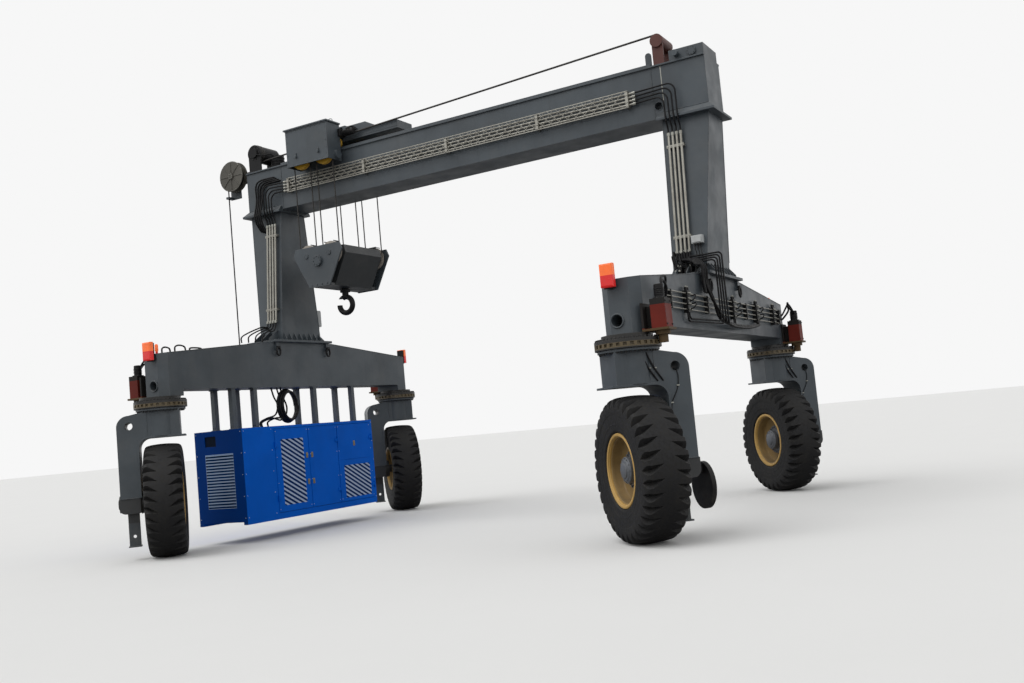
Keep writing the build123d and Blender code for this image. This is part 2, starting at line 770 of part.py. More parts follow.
def drive_case():
    """Housing under the leg round the axle, its lower outer edge rounded."""
    case = block(
        FORK_LEG_INNER,
        DRIVE_CASE_OUTER,
        -DRIVE_CASE_HALF,
        DRIVE_CASE_HALF,
        DRIVE_CASE_BOTTOM,
        FORK_LEG_BOTTOM,
    )
    low_edges = case.edges().filter_by(Axis.Y).group_by(Axis.Z)[0]
    case = fillet(low_edges.sort_by(Axis.X)[-1:], DRIVE_CASE_CORNER)
    neck = rod_x(AXLE_HOUSING_INNER, FORK_LEG_INNER + ROOT, 0, TYRE_RADIUS, AXLE_HOUSING_RADIUS)
    return fuse([case, neck])


def fork():
    spindle_end = -HUB_REACH + HUB_CAP_DEPTH + SPINDLE_END_GAP
    foot_half = FOOT_WIDTH / 2
    plate_half = foot_half + FOOT_PLATE_MARGIN
    foot = block(
        FOOT_REACH - foot_half,
        FOOT_REACH + foot_half,
        -FOOT_THICKNESS / 2,
        FOOT_THICKNESS / 2,
        FOOT_BOTTOM,
        TYRE_RADIUS,
    )
    foot_plate = block(
        FOOT_REACH - plate_half,
        FOOT_REACH + plate_half,
        -foot_half,
        foot_half,
        FOOT_BOTTOM - FOOT_PLATE,
        FOOT_BOTTOM,
    )
    pieces = [
        fork_body(),
        fork_flange(),
        drive_case(),
        foot,
        foot_plate,
        rod_z(FORK_ARM_BOTTOM, FORK_TOP, 0, 0, COLUMN_RADIUS),
        rod_z(FORK_TOP, FORK_TOP + TOP_FLANGE_THICKNESS, 0, 0, TOP_FLANGE_RADIUS),
        rod_z(FORK_TOP, SLEW_BOTTOM + KING_PIN_HEIGHT, 0, 0, KING_PIN_RADIUS),
        rod_x(spindle_end, AXLE_HOUSING_INNER + ROOT, 0, TYRE_RADIUS, SPINDLE_RADIUS),
    ]
    lashing = rod_y(-FORK_DEPTH, FORK_DEPTH, LASHING_HOLE_REACH, LASHING_HOLE_HEIGHT, LASHING_HOLE_RADIUS)
    eye = rod_y(-FOOT_WIDTH, FOOT_WIDTH, FOOT_REACH, FOOT_BOTTOM + FOOT_EYE_RISE, FOOT_EYE_RADIUS)
    return fuse(pieces).cut(lashing, eye)


def drive_guard():
    """Dished round guard on an arm from the drive case."""
    disc = spun_x(
        [
            (0, 0),
            (0, GUARD_RADIUS),
            (GUARD_THICKNESS, GUARD_RADIUS),
            (GUARD_THICKNESS, GUARD_RADIUS - GUARD_WALL),
            (GUARD_DISH, GUARD_RADIUS - 2 * GUARD_WALL),
            (GUARD_DISH, 0),
        ]
    )
    arm = block(
        DRIVE_CASE_OUTER + SEAT_GAP,
        GUARD_REACH + GUARD_DISH,
        -GUARD_ARM_HALF,
        GUARD_ARM_HALF,
        GUARD_HEIGHT + GUARD_RADIUS / 2,
        GUARD_HEIGHT + GUARD_RADIUS - GUARD_ARM_LOW,
    )
    pad = block(
        DRIVE_CASE_OUTER + SEAT_GAP,
        DRIVE_CASE_OUTER + SEAT_GAP + GUARD_ARM_LOW,
        -GUARD_ARM_HALF,
        GUARD_ARM_HALF,
        GUARD_HEIGHT + GUARD_RADIUS / 2,
        TYRE_RADIUS + GUARD_ARM_HIGH - GUARD_ARM_LOW,
    )
    return fuse([Pos(GUARD_REACH, 0, GUARD_HEIGHT) * disc, arm, pad])


fork_solid = fork()
tyre_solid = tyre()
rim_solid = rim()
for corner, side_x, side_y in CORNERS:
    PARTS["fork_" + corner] = place_corner(fork_solid, side_x, side_y)
    PARTS["tyre_" + corner] = place_corner(tyre_solid, side_x, side_y)
    PARTS["rim_" + corner] = place_corner(rim_solid, side_x, side_y)
PARTS["drive_guard"] = place_corner(drive_guard(), 1, -1)


# Slew rings, fixed under the beams, each with a bore for the fork's king pin
def slew_ring():
    ring = rod_z(SLEW_BOTTOM, SLEW_TOP, 0, 0, SLEW_RADIUS)
    seat = rod_z(SLEW_TOP, END_PAD_BOTTOM, 0, 0, SEAT_RADIUS)
    pocket_bottom = SLEW_BOTTOM + POCKET_RISE
    pocket = block(
        SLEW_RADIUS - POCKET_DEPTH,
        SLEW_RADIUS + POCKET_DEPTH,
        -POCKET_WIDTH / 2,
        POCKET_WIDTH / 2,
        pocket_bottom,
        pocket_bottom + POCKET_HEIGHT,
    )
    pockets = [Rot(0, 0, i * 360.0 / SLEW_POCKETS) * pocket for i in range(SLEW_POCKETS)]
    bore_top = SLEW_BOTTOM + KING_PIN_HEIGHT + KING_PIN_END_GAP
    bore = rod_z(SLEW_BOTTOM - CUT_REACH, bore_top, 0, 0, KING_PIN_RADIUS + RUNNING_FIT)
    return fuse([ring, seat]).cut(bore, *pockets)


slew_solid = slew_ring()
PARTS["slew_rings"] = Compound(
    [Pos(sx * HALF_SPAN, sy * HALF_BASE, 0) * slew_solid for _, sx, sy in CORNERS]
)


# Side beams: house profile, chamfered ends, end pads and sockets
def side_beam(side):
    centre = side * HALF_SPAN
    half = BEAM_WIDTH / 2
    length = BEAM_HALF_LENGTH
    outline = [
        (-length, END_PAD_BOTTOM),
        (-length + END_PAD_LENGTH, END_PAD_BOTTOM),
        (-length + END_PAD_LENGTH, BEAM_BOTTOM),
        (length - END_PAD_LENGTH, BEAM_BOTTOM),
        (length - END_PAD_LENGTH, END_PAD_BOTTOM),
        (length, END_PAD_BOTTOM),
        (length, BEAM_END_TOP),
        (BEAM_FLAT_HALF, BEAM_MID_TOP),
        (-BEAM_FLAT_HALF, BEAM_MID_TOP),
        (-length, BEAM_END_TOP),
    ]
    body = front_profile(outline, centre - half, centre + half)
    uprights = body.edges().filter_by(Axis.Z)
    corners = [edge for edge in uprights if abs(edge.center().Y) > length - END_PAD_LENGTH / 2]
    body = chamfer(corners, BEAM_END_CHAMFER)
    socket_x = centre - side * SOCKET_OFFSET
    mouth = length + SOCKET_COLLAR_PROUD
    for sy in (-1, 1):
        body = body + rod_y(sy * (length - ROOT), sy * mouth, socket_x, SOCKET_HEIGHT, SOCKET_COLLAR_RADIUS)
        bore_end = sy * (length - SOCKET_DEPTH)
        body = body - rod_y(bore_end, sy * (mouth + CUT_REACH), socket_x, SOCKET_HEIGHT, SOCKET_RADIUS)
    return body


def gusset_outline(root, edge, base):
    """Triangular stiffener from a wall out to the edge of its plate, in one plane."""
    return [(root, base), (edge, base), (edge, base + GUSSET_EDGE), (root, base + GUSSET_HEIGHT)]


# Legs: flat inner face, outer face leaning in towards the base, both ends tapered along Y
def leg(side):
    centre = side * HALF_SPAN
    inner = centre - side * LEG_INNER
    outer_base = centre + side * LEG_OUTER_BASE
    outer_top = centre + side * LEG_OUTER_TOP
    top = GIRDER_BOTTOM - HEAD_DROP - COLLAR_LIP
    shaft = tapered(
        (inner, outer_base, -LEG_HALF_BASE, LEG_HALF_BASE, LEG_BASE),
        (inner, outer_top, -LEG_HALF_TOP, LEG_HALF_TOP, top),
    )
    plate = block(
        centre - BASE_PLATE_HALF_X,
        centre + BASE_PLATE_HALF_X,
        -BASE_PLATE_HALF_Y,
        BASE_PLATE_HALF_Y,
        BEAM_MID_TOP,
        LEG_BASE,
    )
    pieces = [shaft, plate]
    half_rib = GUSSET_THICKNESS / 2
    reach = LEG_HALF_BASE - SIDE_GUSSET_INSET
    for i in range(SIDE_GUSSETS):
        y = -reach + i * 2 * reach / (SIDE_GUSSETS - 1)
        for face, direction in ((inner, -side), (outer_base, side)):
            edge = centre + direction * (BASE_PLATE_HALF_X - GUSSET_MARGIN)
            rib = gusset_outline(face - direction * GUSSET_ROOT, edge, LEG_BASE)
            pieces.append(side_profile(rib, y - half_rib, y + half_rib))
    for sy in (-1, 1):
        rib = gusset_outline(
            sy * (LEG_HALF_BASE - GUSSET_ROOT), sy * (BASE_PLATE_HALF_Y - GUSSET_MARGIN), LEG_BASE
        )
        for offset in END_GUSSET_PLACES:
            x = centre + offset
            pieces.append(front_profile(rib, x - half_rib, x + half_rib))
        for direction in (-1, 1):
            near = centre + direction * (BEAM_WIDTH / 2 + SEAT_GAP)
            y = sy * HOOK_BRACKET_REACH
            pieces.append(
                block(
                    near,
                    near + direction * HOOK_BRACKET_THICKNESS,
                    y - HOOK_BRACKET_WIDTH / 2,
                    y + HOOK_BRACKET_WIDTH / 2,
                    BEAM_MID_TOP - HOOK_BRACKET_DROP,
                    BEAM_MID_TOP,
                )
            )
    return fuse(pieces)


for name, side in SIDES:
    PARTS["side_beam_" + name] = side_beam(side)
    PARTS["leg_" + name] = leg(side)


# Girder with its top flange and two rails for the trolley
def girder():
    half = GIRDER_HALF_WIDTH
    reach = half + TOP_FLANGE_OVERHANG
    pieces = [
        block(-GIRDER_END, GIRDER_END, -half, half, GIRDER_BOTTOM, GIRDER_TOP),
        block(-GIRDER_END, GIRDER_END, -reach, reach, GIRDER_TOP, DECK),
    ]
    for y in (-RAIL_REACH, RAIL_REACH):
        pieces.append(block(-GIRDER_END, GIRDER_END, y - RAIL_WIDTH / 2, y + RAIL_WIDTH / 2, DECK, RAIL_TOP))
    return fuse(pieces)


def end_cap(x1):
    """Raised block on the head's end, with a round cover and a small motor on its front."""
    front = -GIRDER_HALF_WIDTH
    axis = DECK + END_CAP_HEIGHT / 2
    motor_back = front + END_MOTOR_SINK
    return [
        block(x1 - END_CAP_LENGTH, x1, front, END_CAP_BACK, DECK, DECK + END_CAP_HEIGHT),
        rod_y(front - END_COVER_PROUD, front + ROOT, x1 - END_COVER_INSET, axis, END_COVER_RADIUS),
        rod_y(motor_back - END_MOTOR_LENGTH, motor_back, x1 - END_MOTOR_INSET, axis, END_MOTOR_RADIUS),
    ]


def rope_guide():
    """Upright plate with a round top that keeps the haul rope in line."""
    top = DECK + GUIDE_HEIGHT - GUIDE_HALF_WIDTH
    y0 = GUIDE_PLANE
    y1 = GUIDE_PLANE + GUIDE_THICKNESS
    plate = block(GUIDE_X - GUIDE_HALF_WIDTH, GUIDE_X + GUIDE_HALF_WIDTH, y0, y1, DECK, top)
    return fuse([plate, rod_y(y0, y1, GUIDE_X, top, GUIDE_HALF_WIDTH)])


def head(side):
    """Knee box over a leg, with a flared collar at its foot."""
    x0 = side * GIRDER_END
    x1 = side * HEAD_END
    flare = x1 + side * COLLAR_FLARE
    half = GIRDER_HALF_WIDTH
    reach = half + TOP_FLANGE_OVERHANG
    foot = GIRDER_BOTTOM - HEAD_DROP
    inner = side * (HALF_SPAN - LEG_INNER - COLLAR_PLATE)
    pieces = [
        block(x0, x1, -half, half, foot, GIRDER_TOP),
        block(x0, x1, -reach, reach, GIRDER_TOP, DECK),
        tapered(
            (inner, flare, -COLLAR_HALF, COLLAR_HALF, foot),
            (inner, x1, -half, half, foot + COLLAR_HEIGHT),
        ),
        block(inner, flare, -COLLAR_HALF, COLLAR_HALF, foot - COLLAR_LIP, foot),
    ]
    if side < 0:
        return fuse(pieces)
    port = rod_y(-half - CUT_REACH, -half + HEAD_PORT_DEPTH, HEAD_PORT_X, HEAD_PORT_HEIGHT, HEAD_PORT_RADIUS)
    return fuse(pieces + end_cap(x1)) - port


PARTS["girder"] = fuse([girder(), rope_guide()])
for name, side in SIDES:
    PARTS["head_" + name] = head(side)


# Trolley on the girder: boxes over the rope sheaves at both sides, joined by a bridge on top
def sheave_box(side):
    """Open-bottomed box at one side of the girder, with its roof, eyes, pin keepers and buffers."""
    x0 = TROLLEY_X - BOX_HALF_LENGTH
    x1 = TROLLEY_X + BOX_HALF_LENGTH
    outer = side * BOX_OUTER
    shell = block(x0, x1, side * BOX_INNER, outer, BOX_BOTTOM, BOX_TOP) - block(
        x0 + BOX_WALL,
        x1 - BOX_WALL,
        side * (BOX_INNER + BOX_WALL),
        side * (BOX_OUTER - BOX_WALL),
        BOX_BOTTOM - CUT_REACH,
        BOX_TOP - BOX_WALL,
    )
    roof_edge = side * (BOX_OUTER + ROOF_OVERHANG)
    roof_top = BOX_TOP + ROOF_THICKNESS
    roof = block(
        x0 - ROOF_OVERHANG, x1 + ROOF_OVERHANG, side * BOX_INNER, roof_edge, BOX_TOP, roof_top
    )
    pieces = [shell, roof]
    for place in EYE_PLACES:
        eye = Pos(TROLLEY_X + place, side * ROPE_PLANE, roof_top) * Rot(90, 0, 0)
        pieces.append(eye * Torus(EYE_RADIUS, EYE_WIRE))
    for sx in (-1, 1):
        x = TROLLEY_X + sx * SHEAVE_SPACING / 2
        root = outer - side * ROOT
        proud = side * (BOX_OUTER + KEEPER_PROUD)
        plate = side * (BOX_OUTER + KEEPER_PROUD / 2)
        pieces.append(rod_y(root, proud, x, SHEAVE_AXIS_HEIGHT, KEEPER_RADIUS))
        pieces.append(
            block(
                x - KEEPER_WIDTH / 2,
                x + KEEPER_WIDTH / 2,
                root,
                plate,
                SHEAVE_AXIS_HEIGHT,
                SHEAVE_AXIS_HEIGHT + KEEPER_RISE,
            )
        )
        end = TROLLEY_X + sx * BOX_HALF_LENGTH
        buffer_end = end + sx * BUFFER_LENGTH
        buffer_height = BOX_BOTTOM + BUFFER_RISE
        pieces.append(rod_x(end - sx * ROOT, buffer_end, side * BUFFER_REACH, buffer_height, BUFFER_RADIUS))
    return fuse(pieces)


def trolley_body():
    x0 = TROLLEY_X - BOX_HALF_LENGTH
    x1 = TROLLEY_X + BOX_HALF_LENGTH
    mid_end = x1 + MID_BOX_LENGTH
    low_end = mid_end + LOW_BOX_LENGTH
    slab_bottom = PLATFORM_TOP - PLATFORM_THICKNESS
    mid_outline = [
        (x1 - MID_BOX_OVERLAP, PLATFORM_TOP - ROOT),
        (mid_end, PLATFORM_TOP - ROOT),
        (mid_end, BOX_TOP - ROOT - MID_BOX_SLOPE / 2),
        (mid_end - MID_BOX_SLOPE, BOX_TOP),
        (x1 - MID_BOX_OVERLAP, BOX_TOP),
    ]
    pieces = [
        sheave_box(-1),
        sheave_box(1),
        block(x0, x1, -SLOT_INNER, BOX_INNER + ROOT, BOX_TOP, BOX_TOP + ROOF_THICKNESS),
        block(x0, low_end, -SLOT_INNER, SLOT_INNER, slab_bottom, PLATFORM_TOP),
        block(
            TROLLEY_X - CROSS_MEMBER_HALF,
            TROLLEY_X + CROSS_MEMBER_HALF,
            -BOX_INNER - BOX_WALL,
            BOX_INNER + BOX_WALL,
            slab_bottom,
            PLATFORM_TOP,
        ),
        side_profile(mid_outline, -SLOT_INNER, SLOT_INNER),
        block(mid_end, low_end, -SLOT_INNER, SLOT_INNER, PLATFORM_TOP, LOW_BOX_TOP),
    ]
    return fuse(pieces)


def trolley_wheels():
    solids = []
    axis_z = RAIL_TOP + SEAT_GAP + TROLLEY_WHEEL_RADIUS
    half = TROLLEY_WHEEL_WIDTH / 2
    for sx in (-1, 1):
        x = TROLLEY_X + sx * (BOX_HALF_LENGTH - TROLLEY_WHEEL_INSET)
        for sy in (-1, 1):
            wheel = rod_y(sy * (RAIL_REACH - half), sy * (RAIL_REACH + half), x, axis_z, TROLLEY_WHEEL_RADIUS)
            axle = rod_y(sy * RAIL_REACH, sy * (BOX_INNER - SEAT_GAP), x, axis_z, TROLLEY_AXLE_RADIUS)
            solids.append(fuse([wheel, axle]))
    return Compound(solids)


def trolley_motor():
    """Motor on a foot plate at the front box's right end, with a valve on top."""
    face = TROLLEY_X + BOX_HALF_LENGTH + SEAT_GAP
    y = TROLLEY_MOTOR_PLANE
    z = TROLLEY_MOTOR_HEIGHT
    foot_front = -BOX_INNER - MOTOR_FOOT_HALF
    motor_end = face + MOTOR_FOOT_LENGTH + TROLLEY_MOTOR_LENGTH
    valve_x = face + MOTOR_FOOT_LENGTH + TROLLEY_MOTOR_LENGTH / 2
    foot = block(
        face,
        face + MOTOR_FOOT_LENGTH,
        foot_front,
        y + TROLLEY_MOTOR_RADIUS,
        z - MOTOR_FOOT_HALF,
        z + MOTOR_FOOT_HALF,
    )
    valve = block(
        valve_x - VALVE_HALF,
        valve_x + VALVE_HALF,
        y - VALVE_HALF,
        y + VALVE_HALF,
        z,
        z + VALVE_HEIGHT,
    )
    return fuse([foot, rod_x(face, motor_end, y, z, TROLLEY_MOTOR_RADIUS), valve])


def grooved_sheave(radius, width, bore):
    """Rope sheave with its axle along Y."""
    groove_floor = SHEAVE_PITCH_RADIUS - ROPE_RADIUS - SEAT_GAP
    groove_half = ROPE_RADIUS + SEAT_GAP
    half = width / 2
    return spun_y(
        [
            (-half, bore),
            (-half, radius),
            (-half + SHEAVE_LIP, radius),
            (-groove_half, groove_floor),
            (groove_half, groove_floor),
            (half - SHEAVE_LIP, radius),
            (half, radius),
            (half, bore),
        ]
    )


def sheave_set(z, inner, outer):
    """Four sheaves with their pins, two on each side of the girder."""
    solids = []
    for sy in (-1, 1):
        for sx in (-1, 1):
            x = TROLLEY_X + sx * SHEAVE_SPACING / 2
            sheave = Pos(x, sy * ROPE_PLANE, z) * grooved_sheave(SHEAVE_RADIUS, SHEAVE_WIDTH, SHEAVE_BORE)
            pin = rod_y(sy * inner, sy * outer, x, z, BLOCK_PIN_RADIUS)
            solids.append(fuse([sheave, pin]))
    return Compound(solids)


PARTS["trolley_body"] = trolley_body()
PARTS["trolley_wheels"] = trolley_wheels()
PARTS["trolley_motor"] = trolley_motor()
PARTS["trolley_sheaves"] = sheave_set(
    SHEAVE_AXIS_HEIGHT, BOX_INNER + BOX_WALL + SEAT_GAP, BOX_OUTER - BOX_WALL - SEAT_GAP
)


# Hoist ropes: two falls from each sheave, straight down to the block
def hoist_ropes():
    solids = []
    for sy in (-1, 1):
        for sx in (-1, 1):
            for fall in (-1, 1):
                x = TROLLEY_X + sx * SHEAVE_SPACING / 2 + fall * SHEAVE_PITCH_RADIUS
                solids.append(rod_z(BLOCK_SHEAVE_HEIGHT, SHEAVE_AXIS_HEIGHT, x, sy * ROPE_PLANE, ROPE_RADIUS))
    return Compound(solids)


# Hook block: two cheeks and a trough between them, with pins for the sheaves
def hook_block():
    shoulder = CHEEK_TOP - CHEEK_CORNER
    cheek_half = [
        (CHEEK_HALF_BOTTOM, CHEEK_BOTTOM),
        (CHEEK_HALF_TOP, shoulder),
        (CHEEK_HALF_TOP - CHEEK_CORNER_SLOPE, CHEEK_TOP),
    ]
    body_floor = CHEEK_BOTTOM + BLOCK_BODY_FLOOR
    body_top = BLOCK_SHEAVE_HEIGHT + BLOCK_BODY_RISE
    body_half = [
        (CHEEK_HALF_BOTTOM - BLOCK_BODY_INSET, body_floor),
        (CHEEK_HALF_TOP - BLOCK_BODY_SHOULDER, shoulder - BLOCK_BODY_EDGE),
        (CHEEK_HALF_TOP - BLOCK_BODY_SHOULDER - BLOCK_BODY_SLOPE, body_top),
    ]
    cheek, body = (
        [(TROLLEY_X - x, z) for x, z in half] + [(TROLLEY_X + x, z) for x, z in reversed(half)]
        for half in (cheek_half, body_half)
    )
    tie_half = CHEEK_HALF_BOTTOM - BLOCK_BODY_INSET
    tie_reach = CHEEK_OUTER - CHEEK_THICKNESS / 2
    pieces = [
        side_profile(body, -BLOCK_BODY_HALF, BLOCK_BODY_HALF),
        block(
            TROLLEY_X - tie_half,
            TROLLEY_X + tie_half,
            -tie_reach,
            tie_reach,
            body_floor,
            body_floor + BLOCK_TIE_HEIGHT,
        ),
    ]
    for sy in (-1, 1):
        outer = sy * CHEEK_OUTER
        inner = sy * (CHEEK_OUTER - CHEEK_THICKNESS)
        boss_end = outer + sy * BLOCK_BOSS_PROUD
        cap_end = outer + sy * PIN_CAP_PROUD
        pieces.append(side_profile(cheek, min(inner, outer), max(inner, outer)))
        boss_z = BLOCK_SHEAVE_HEIGHT - BLOCK_BOSS_DROP
        pieces.append(rod_y(inner, boss_end, TROLLEY_X, boss_z, BLOCK_BOSS_RADIUS))
        for sx in (-1, 1):
            pin_x = TROLLEY_X + sx * SHEAVE_SPACING / 2
            pieces.append(rod_y(inner, cap_end, pin_x, BLOCK_SHEAVE_HEIGHT, PIN_CAP_RADIUS))
    bore_top = CHEEK_BOTTOM + HOOK_STEM_DEPTH + HOOK_STEM_END_GAP
    bore = rod_z(CHEEK_BOTTOM - CUT_REACH, bore_top, TROLLEY_X, 0, HOOK_STEM_RADIUS + RUNNING_FIT)
    return fuse(pieces) - bore


def hook():
    """Forged single hook on a round stem, its mouth towards -X."""
    x = TROLLEY_X
    z = HOOK_CENTRE_HEIGHT
    stem = rod_z(z + HOOK_RING_RADIUS, CHEEK_BOTTOM + HOOK_STEM_DEPTH, x, 0, HOOK_STEM_RADIUS)
    nut = rod_z(CHEEK_BOTTOM - HOOK_NUT_DROP, CHEEK_BOTTOM - HOOK_NUT_GAP, x, 0, HOOK_NUT_RADIUS)
    ring = Pos(x, 0, z) * Rot(90, 0, 0) * Torus(HOOK_RING_RADIUS, HOOK_WIRE_RADIUS)
    mouth = block(
        x - HOOK_RING_RADIUS - HOOK_WIRE_RADIUS - CUT_REACH,
        x - HOOK_MOUTH_INNER,
        -HOOK_MOUTH_HALF,
        HOOK_MOUTH_HALF,
        z + HOOK_MOUTH_LOW,
        z + HOOK_MOUTH_HIGH,
    )
    return fuse([ring - mouth, stem, nut])


PARTS["hoist_ropes"] = hoist_ropes()
PARTS["hook_block"] = hook_block()
PARTS["block_sheaves"] = sheave_set(
    BLOCK_SHEAVE_HEIGHT, BLOCK_BODY_HALF + SEAT_GAP, CHEEK_OUTER - CHEEK_THICKNESS - SEAT_GAP
)
PARTS["hook"] = hook()


# Haul gear: drum at the left head, tail roller at the right head, rope between them
def haul_winch():
    """Drum between two stands, with a ribbed oil tank beside it on a common base."""
    x = HAUL_DRUM_X
    z = HAUL_DRUM_HEIGHT
    front = HAUL_DRUM_FRONT - DRUM_STAND_THICKNESS
    back = HAUL_DRUM_BACK + DRUM_STAND_THICKNESS
    pieces = [
        rod_y(front, back, x, z, HAUL_DRUM_RADIUS),
        rod_y(front - DRUM_CAP_PROUD, front + ROOT, x, z, DRUM_CAP_RADIUS),
        block(
            x - DRUM_STAND_HALF,
            x + WINCH_BASE_LENGTH - DRUM_STAND_HALF,
            WINCH_BASE_FRONT,
            back,
            DECK,
            DECK + WINCH_BASE_HEIGHT,
        ),
    ]
    for y in (front, HAUL_DRUM_BACK):
        pieces.append(block(x - DRUM_STAND_HALF, x + DRUM_STAND_HALF, y, y + DRUM_STAND_THICKNESS, DECK, z))
    tank_x = x + TANK_OFFSET
    tank_bottom = DECK + WINCH_BASE_HEIGHT
    pieces.append(rod_z(tank_bottom, tank_bottom + TANK_HEIGHT, tank_x, TANK_PLANE, TANK_RADIUS))
    for i in range(TANK_RIBS):
        rib_z = tank_bottom + (i + 1) * TANK_HEIGHT / (TANK_RIBS + 1)
        pieces.append(rod_z(rib_z, rib_z + TANK_RIB_HEIGHT, tank_x, TANK_PLANE, TANK_RADIUS + TANK_RIB))
    return fuse(pieces)


def tail_roller():
    x = TAIL_ROLLER_X
    front = HAUL_ROPE_Y - TAIL_ROLLER_FRONT
    back = HAUL_ROPE_Y + TAIL_ROLLER_BACK
    pieces = [rod_y(front, back, x, TAIL_ROLLER_HEIGHT, TAIL_ROLLER_RADIUS)]
    for y in (front + TAIL_BRACKET_INSET, back - TAIL_BRACKET_INSET - TAIL_BRACKET_THICKNESS):
        pieces.append(
            block(
                x - TAIL_BRACKET_HALF,
                x + TAIL_BRACKET_HALF,
                y,
                y + TAIL_BRACKET_THICKNESS,
                DECK,
                TAIL_ROLLER_HEIGHT,
            )
        )
    return fuse(pieces)


def haul_rope():
    reach = HAUL_ROPE_RADIUS + SEAT_GAP
    start = Vector(HAUL_DRUM_X, HAUL_ROPE_Y, HAUL_DRUM_HEIGHT - HAUL_DRUM_RADIUS - reach)
    end = Vector(TAIL_ROLLER_X, HAUL_ROPE_Y, TAIL_ROLLER_HEIGHT + TAIL_ROLLER_RADIUS + reach)
    plane = Plane(origin=start, z_dir=(end - start).normalized())
    return sweep(plane * Circle(HAUL_ROPE_RADIUS), path=Line(start, end))


def ladder_tray():
    """Ladder-like chain tray along the deck: two long bars with rungs between them."""
    half = TRAY_HALF_LENGTH
    top = DECK + TRAY_HEIGHT
    y0 = TRAY_PLANE - TRAY_BAR / 2
    y1 = TRAY_PLANE + TRAY_BAR / 2
    pieces = [
        block(-half, half, y0, y1, DECK, DECK + TRAY_BAR),
        block(-half, half, y0, y1, top - TRAY_BAR, top),
    ]
    count = int(2 * half / TRAY_BAR_PITCH)
    pitch = (2 * half - TRAY_BAR) / count
    for i in range(count + 1):
        x = -half + i * pitch
        pieces.append(block(x, x + TRAY_BAR, y0, y1, DECK, top))
    return fuse(pieces)


PARTS["haul_winch"] = haul_winch()
PARTS["tail_roller"] = tail_roller()
PARTS["haul_rope"] = haul_rope()
PARTS["ladder_tray"] = ladder_tray()


# Cable reel on the left end, its bracket and the cable pulled straight down from it
def reel_bracket():
    back = REEL_FRONT + REEL_WIDTH + REEL_BACK_GAP
    rear = back + REEL_PLATE_THICKNESS
    eye_bottom = REEL_HEIGHT - CABLE_EYE_DROP
    pieces = [
        block(
            REEL_X - REEL_PLATE_REACH,
            -HEAD_END,
            back,
            rear,
            REEL_HEIGHT - REEL_PLATE_DROP,
            REEL_HEIGHT + REEL_PLATE_RISE,
        ),
        block(
            CABLE_X - CABLE_EYE_HALF,
            REEL_X + CABLE_ARM_REACH,
            back,
            rear,
            eye_bottom,
            REEL_HEIGHT - CABLE_ARM_TOP,
        ),
        block(
            CABLE_X - CABLE_EYE_HALF,
            CABLE_X + CABLE_EYE_HALF,
            CABLE_Y - CABLE_EYE_HALF,
            back + ROOT,
            eye_bottom,
            eye_bottom + CABLE_EYE_HEIGHT,
        ),
        rod_y(REEL_FRONT + REEL_AXLE_START, back + ROOT, REEL_X, REEL_HEIGHT, REEL_AXLE_RADIUS),
    ]
    hole = rod_z(
        eye_bottom - CUT_REACH,
        eye_bottom + CABLE_EYE_HEIGHT + CUT_REACH,
        CABLE_X,
        CABLE_Y,
        CABLE_RADIUS + SEAT_GAP,
    )
    return fuse(pieces) - hole


def cable_reel():
    inner = REEL_AXLE_RADIUS + RUNNING_FIT
    back = REEL_WIDTH
    spool = spun_y(
        [
            (0, inner),
            (0, REEL_RADIUS),
            (REEL_FLANGE, REEL_RADIUS),
            (REEL_FLANGE, REEL_CORE_RADIUS),
            (back - REEL_FLANGE, REEL_CORE_RADIUS),
            (back - REEL_FLANGE, REEL_RADIUS),
            (back, REEL_RADIUS),
            (back, inner),
        ]
    )
    pieces = [spool, rod_y(-REEL_BOSS_PROUD, REEL_BOSS_ROOT, 0, 0, REEL_BOSS_RADIUS)]
    rib = block(
        0,
        REEL_RADIUS - REEL_RIB_MARGIN,
        -REEL_RIB_PROUD,
        REEL_FLANGE / 2,
        -REEL_RIB_THICKNESS / 2,
        REEL_RIB_THICKNESS / 2,
    )
    core = rod_y(-REEL_RIB_PROUD - CUT_REACH, REEL_FLANGE, 0, 0, inner)
    for i in range(REEL_RIB_COUNT):
        pieces.append(Rot(0, i * 360.0 / REEL_RIB_COUNT, 0) * rib - core)
    return Pos(REEL_X, REEL_FRONT, REEL_HEIGHT) * fuse(pieces)


def brake_ring():
    """Ring on the back of the reel."""
    front = REEL_FRONT + REEL_WIDTH + SEAT_GAP
    ring = rod_y(front, front + BRAKE_RING_THICKNESS, REEL_X, REEL_HEIGHT, BRAKE_RING_RADIUS)
    bore = rod_y(
        front - CUT_REACH,
        front + BRAKE_RING_THICKNESS + CUT_REACH,
        REEL_X,
        REEL_HEIGHT,
        REEL_AXLE_RADIUS + RUNNING_FIT,
    )
    return ring - bore


def reel_cable():
    return rod_z(CABLE_FOOT, REEL_HEIGHT, CABLE_X, CABLE_Y, CABLE_RADIUS)


def cable_post():
    """Arm on the left beam's outer side that holds the cable's lower end."""
    return block(
        CABLE_X - CABLE_POST_HALF_X,
        -HALF_SPAN - BEAM_WIDTH / 2,
        CABLE_Y - CABLE_POST_HALF_Y,
        CABLE_Y + CABLE_POST_HALF_Y,
        CABLE_FOOT - CABLE_POST_HEIGHT,
        CABLE_FOOT,
    )


PARTS["reel_bracket"] = reel_bracket()
PARTS["cable_reel"] = cable_reel()
PARTS["brake_ring"] = brake_ring()
PARTS["reel_cable"] = reel_cable()
PARTS["cable_post"] = cable_post()


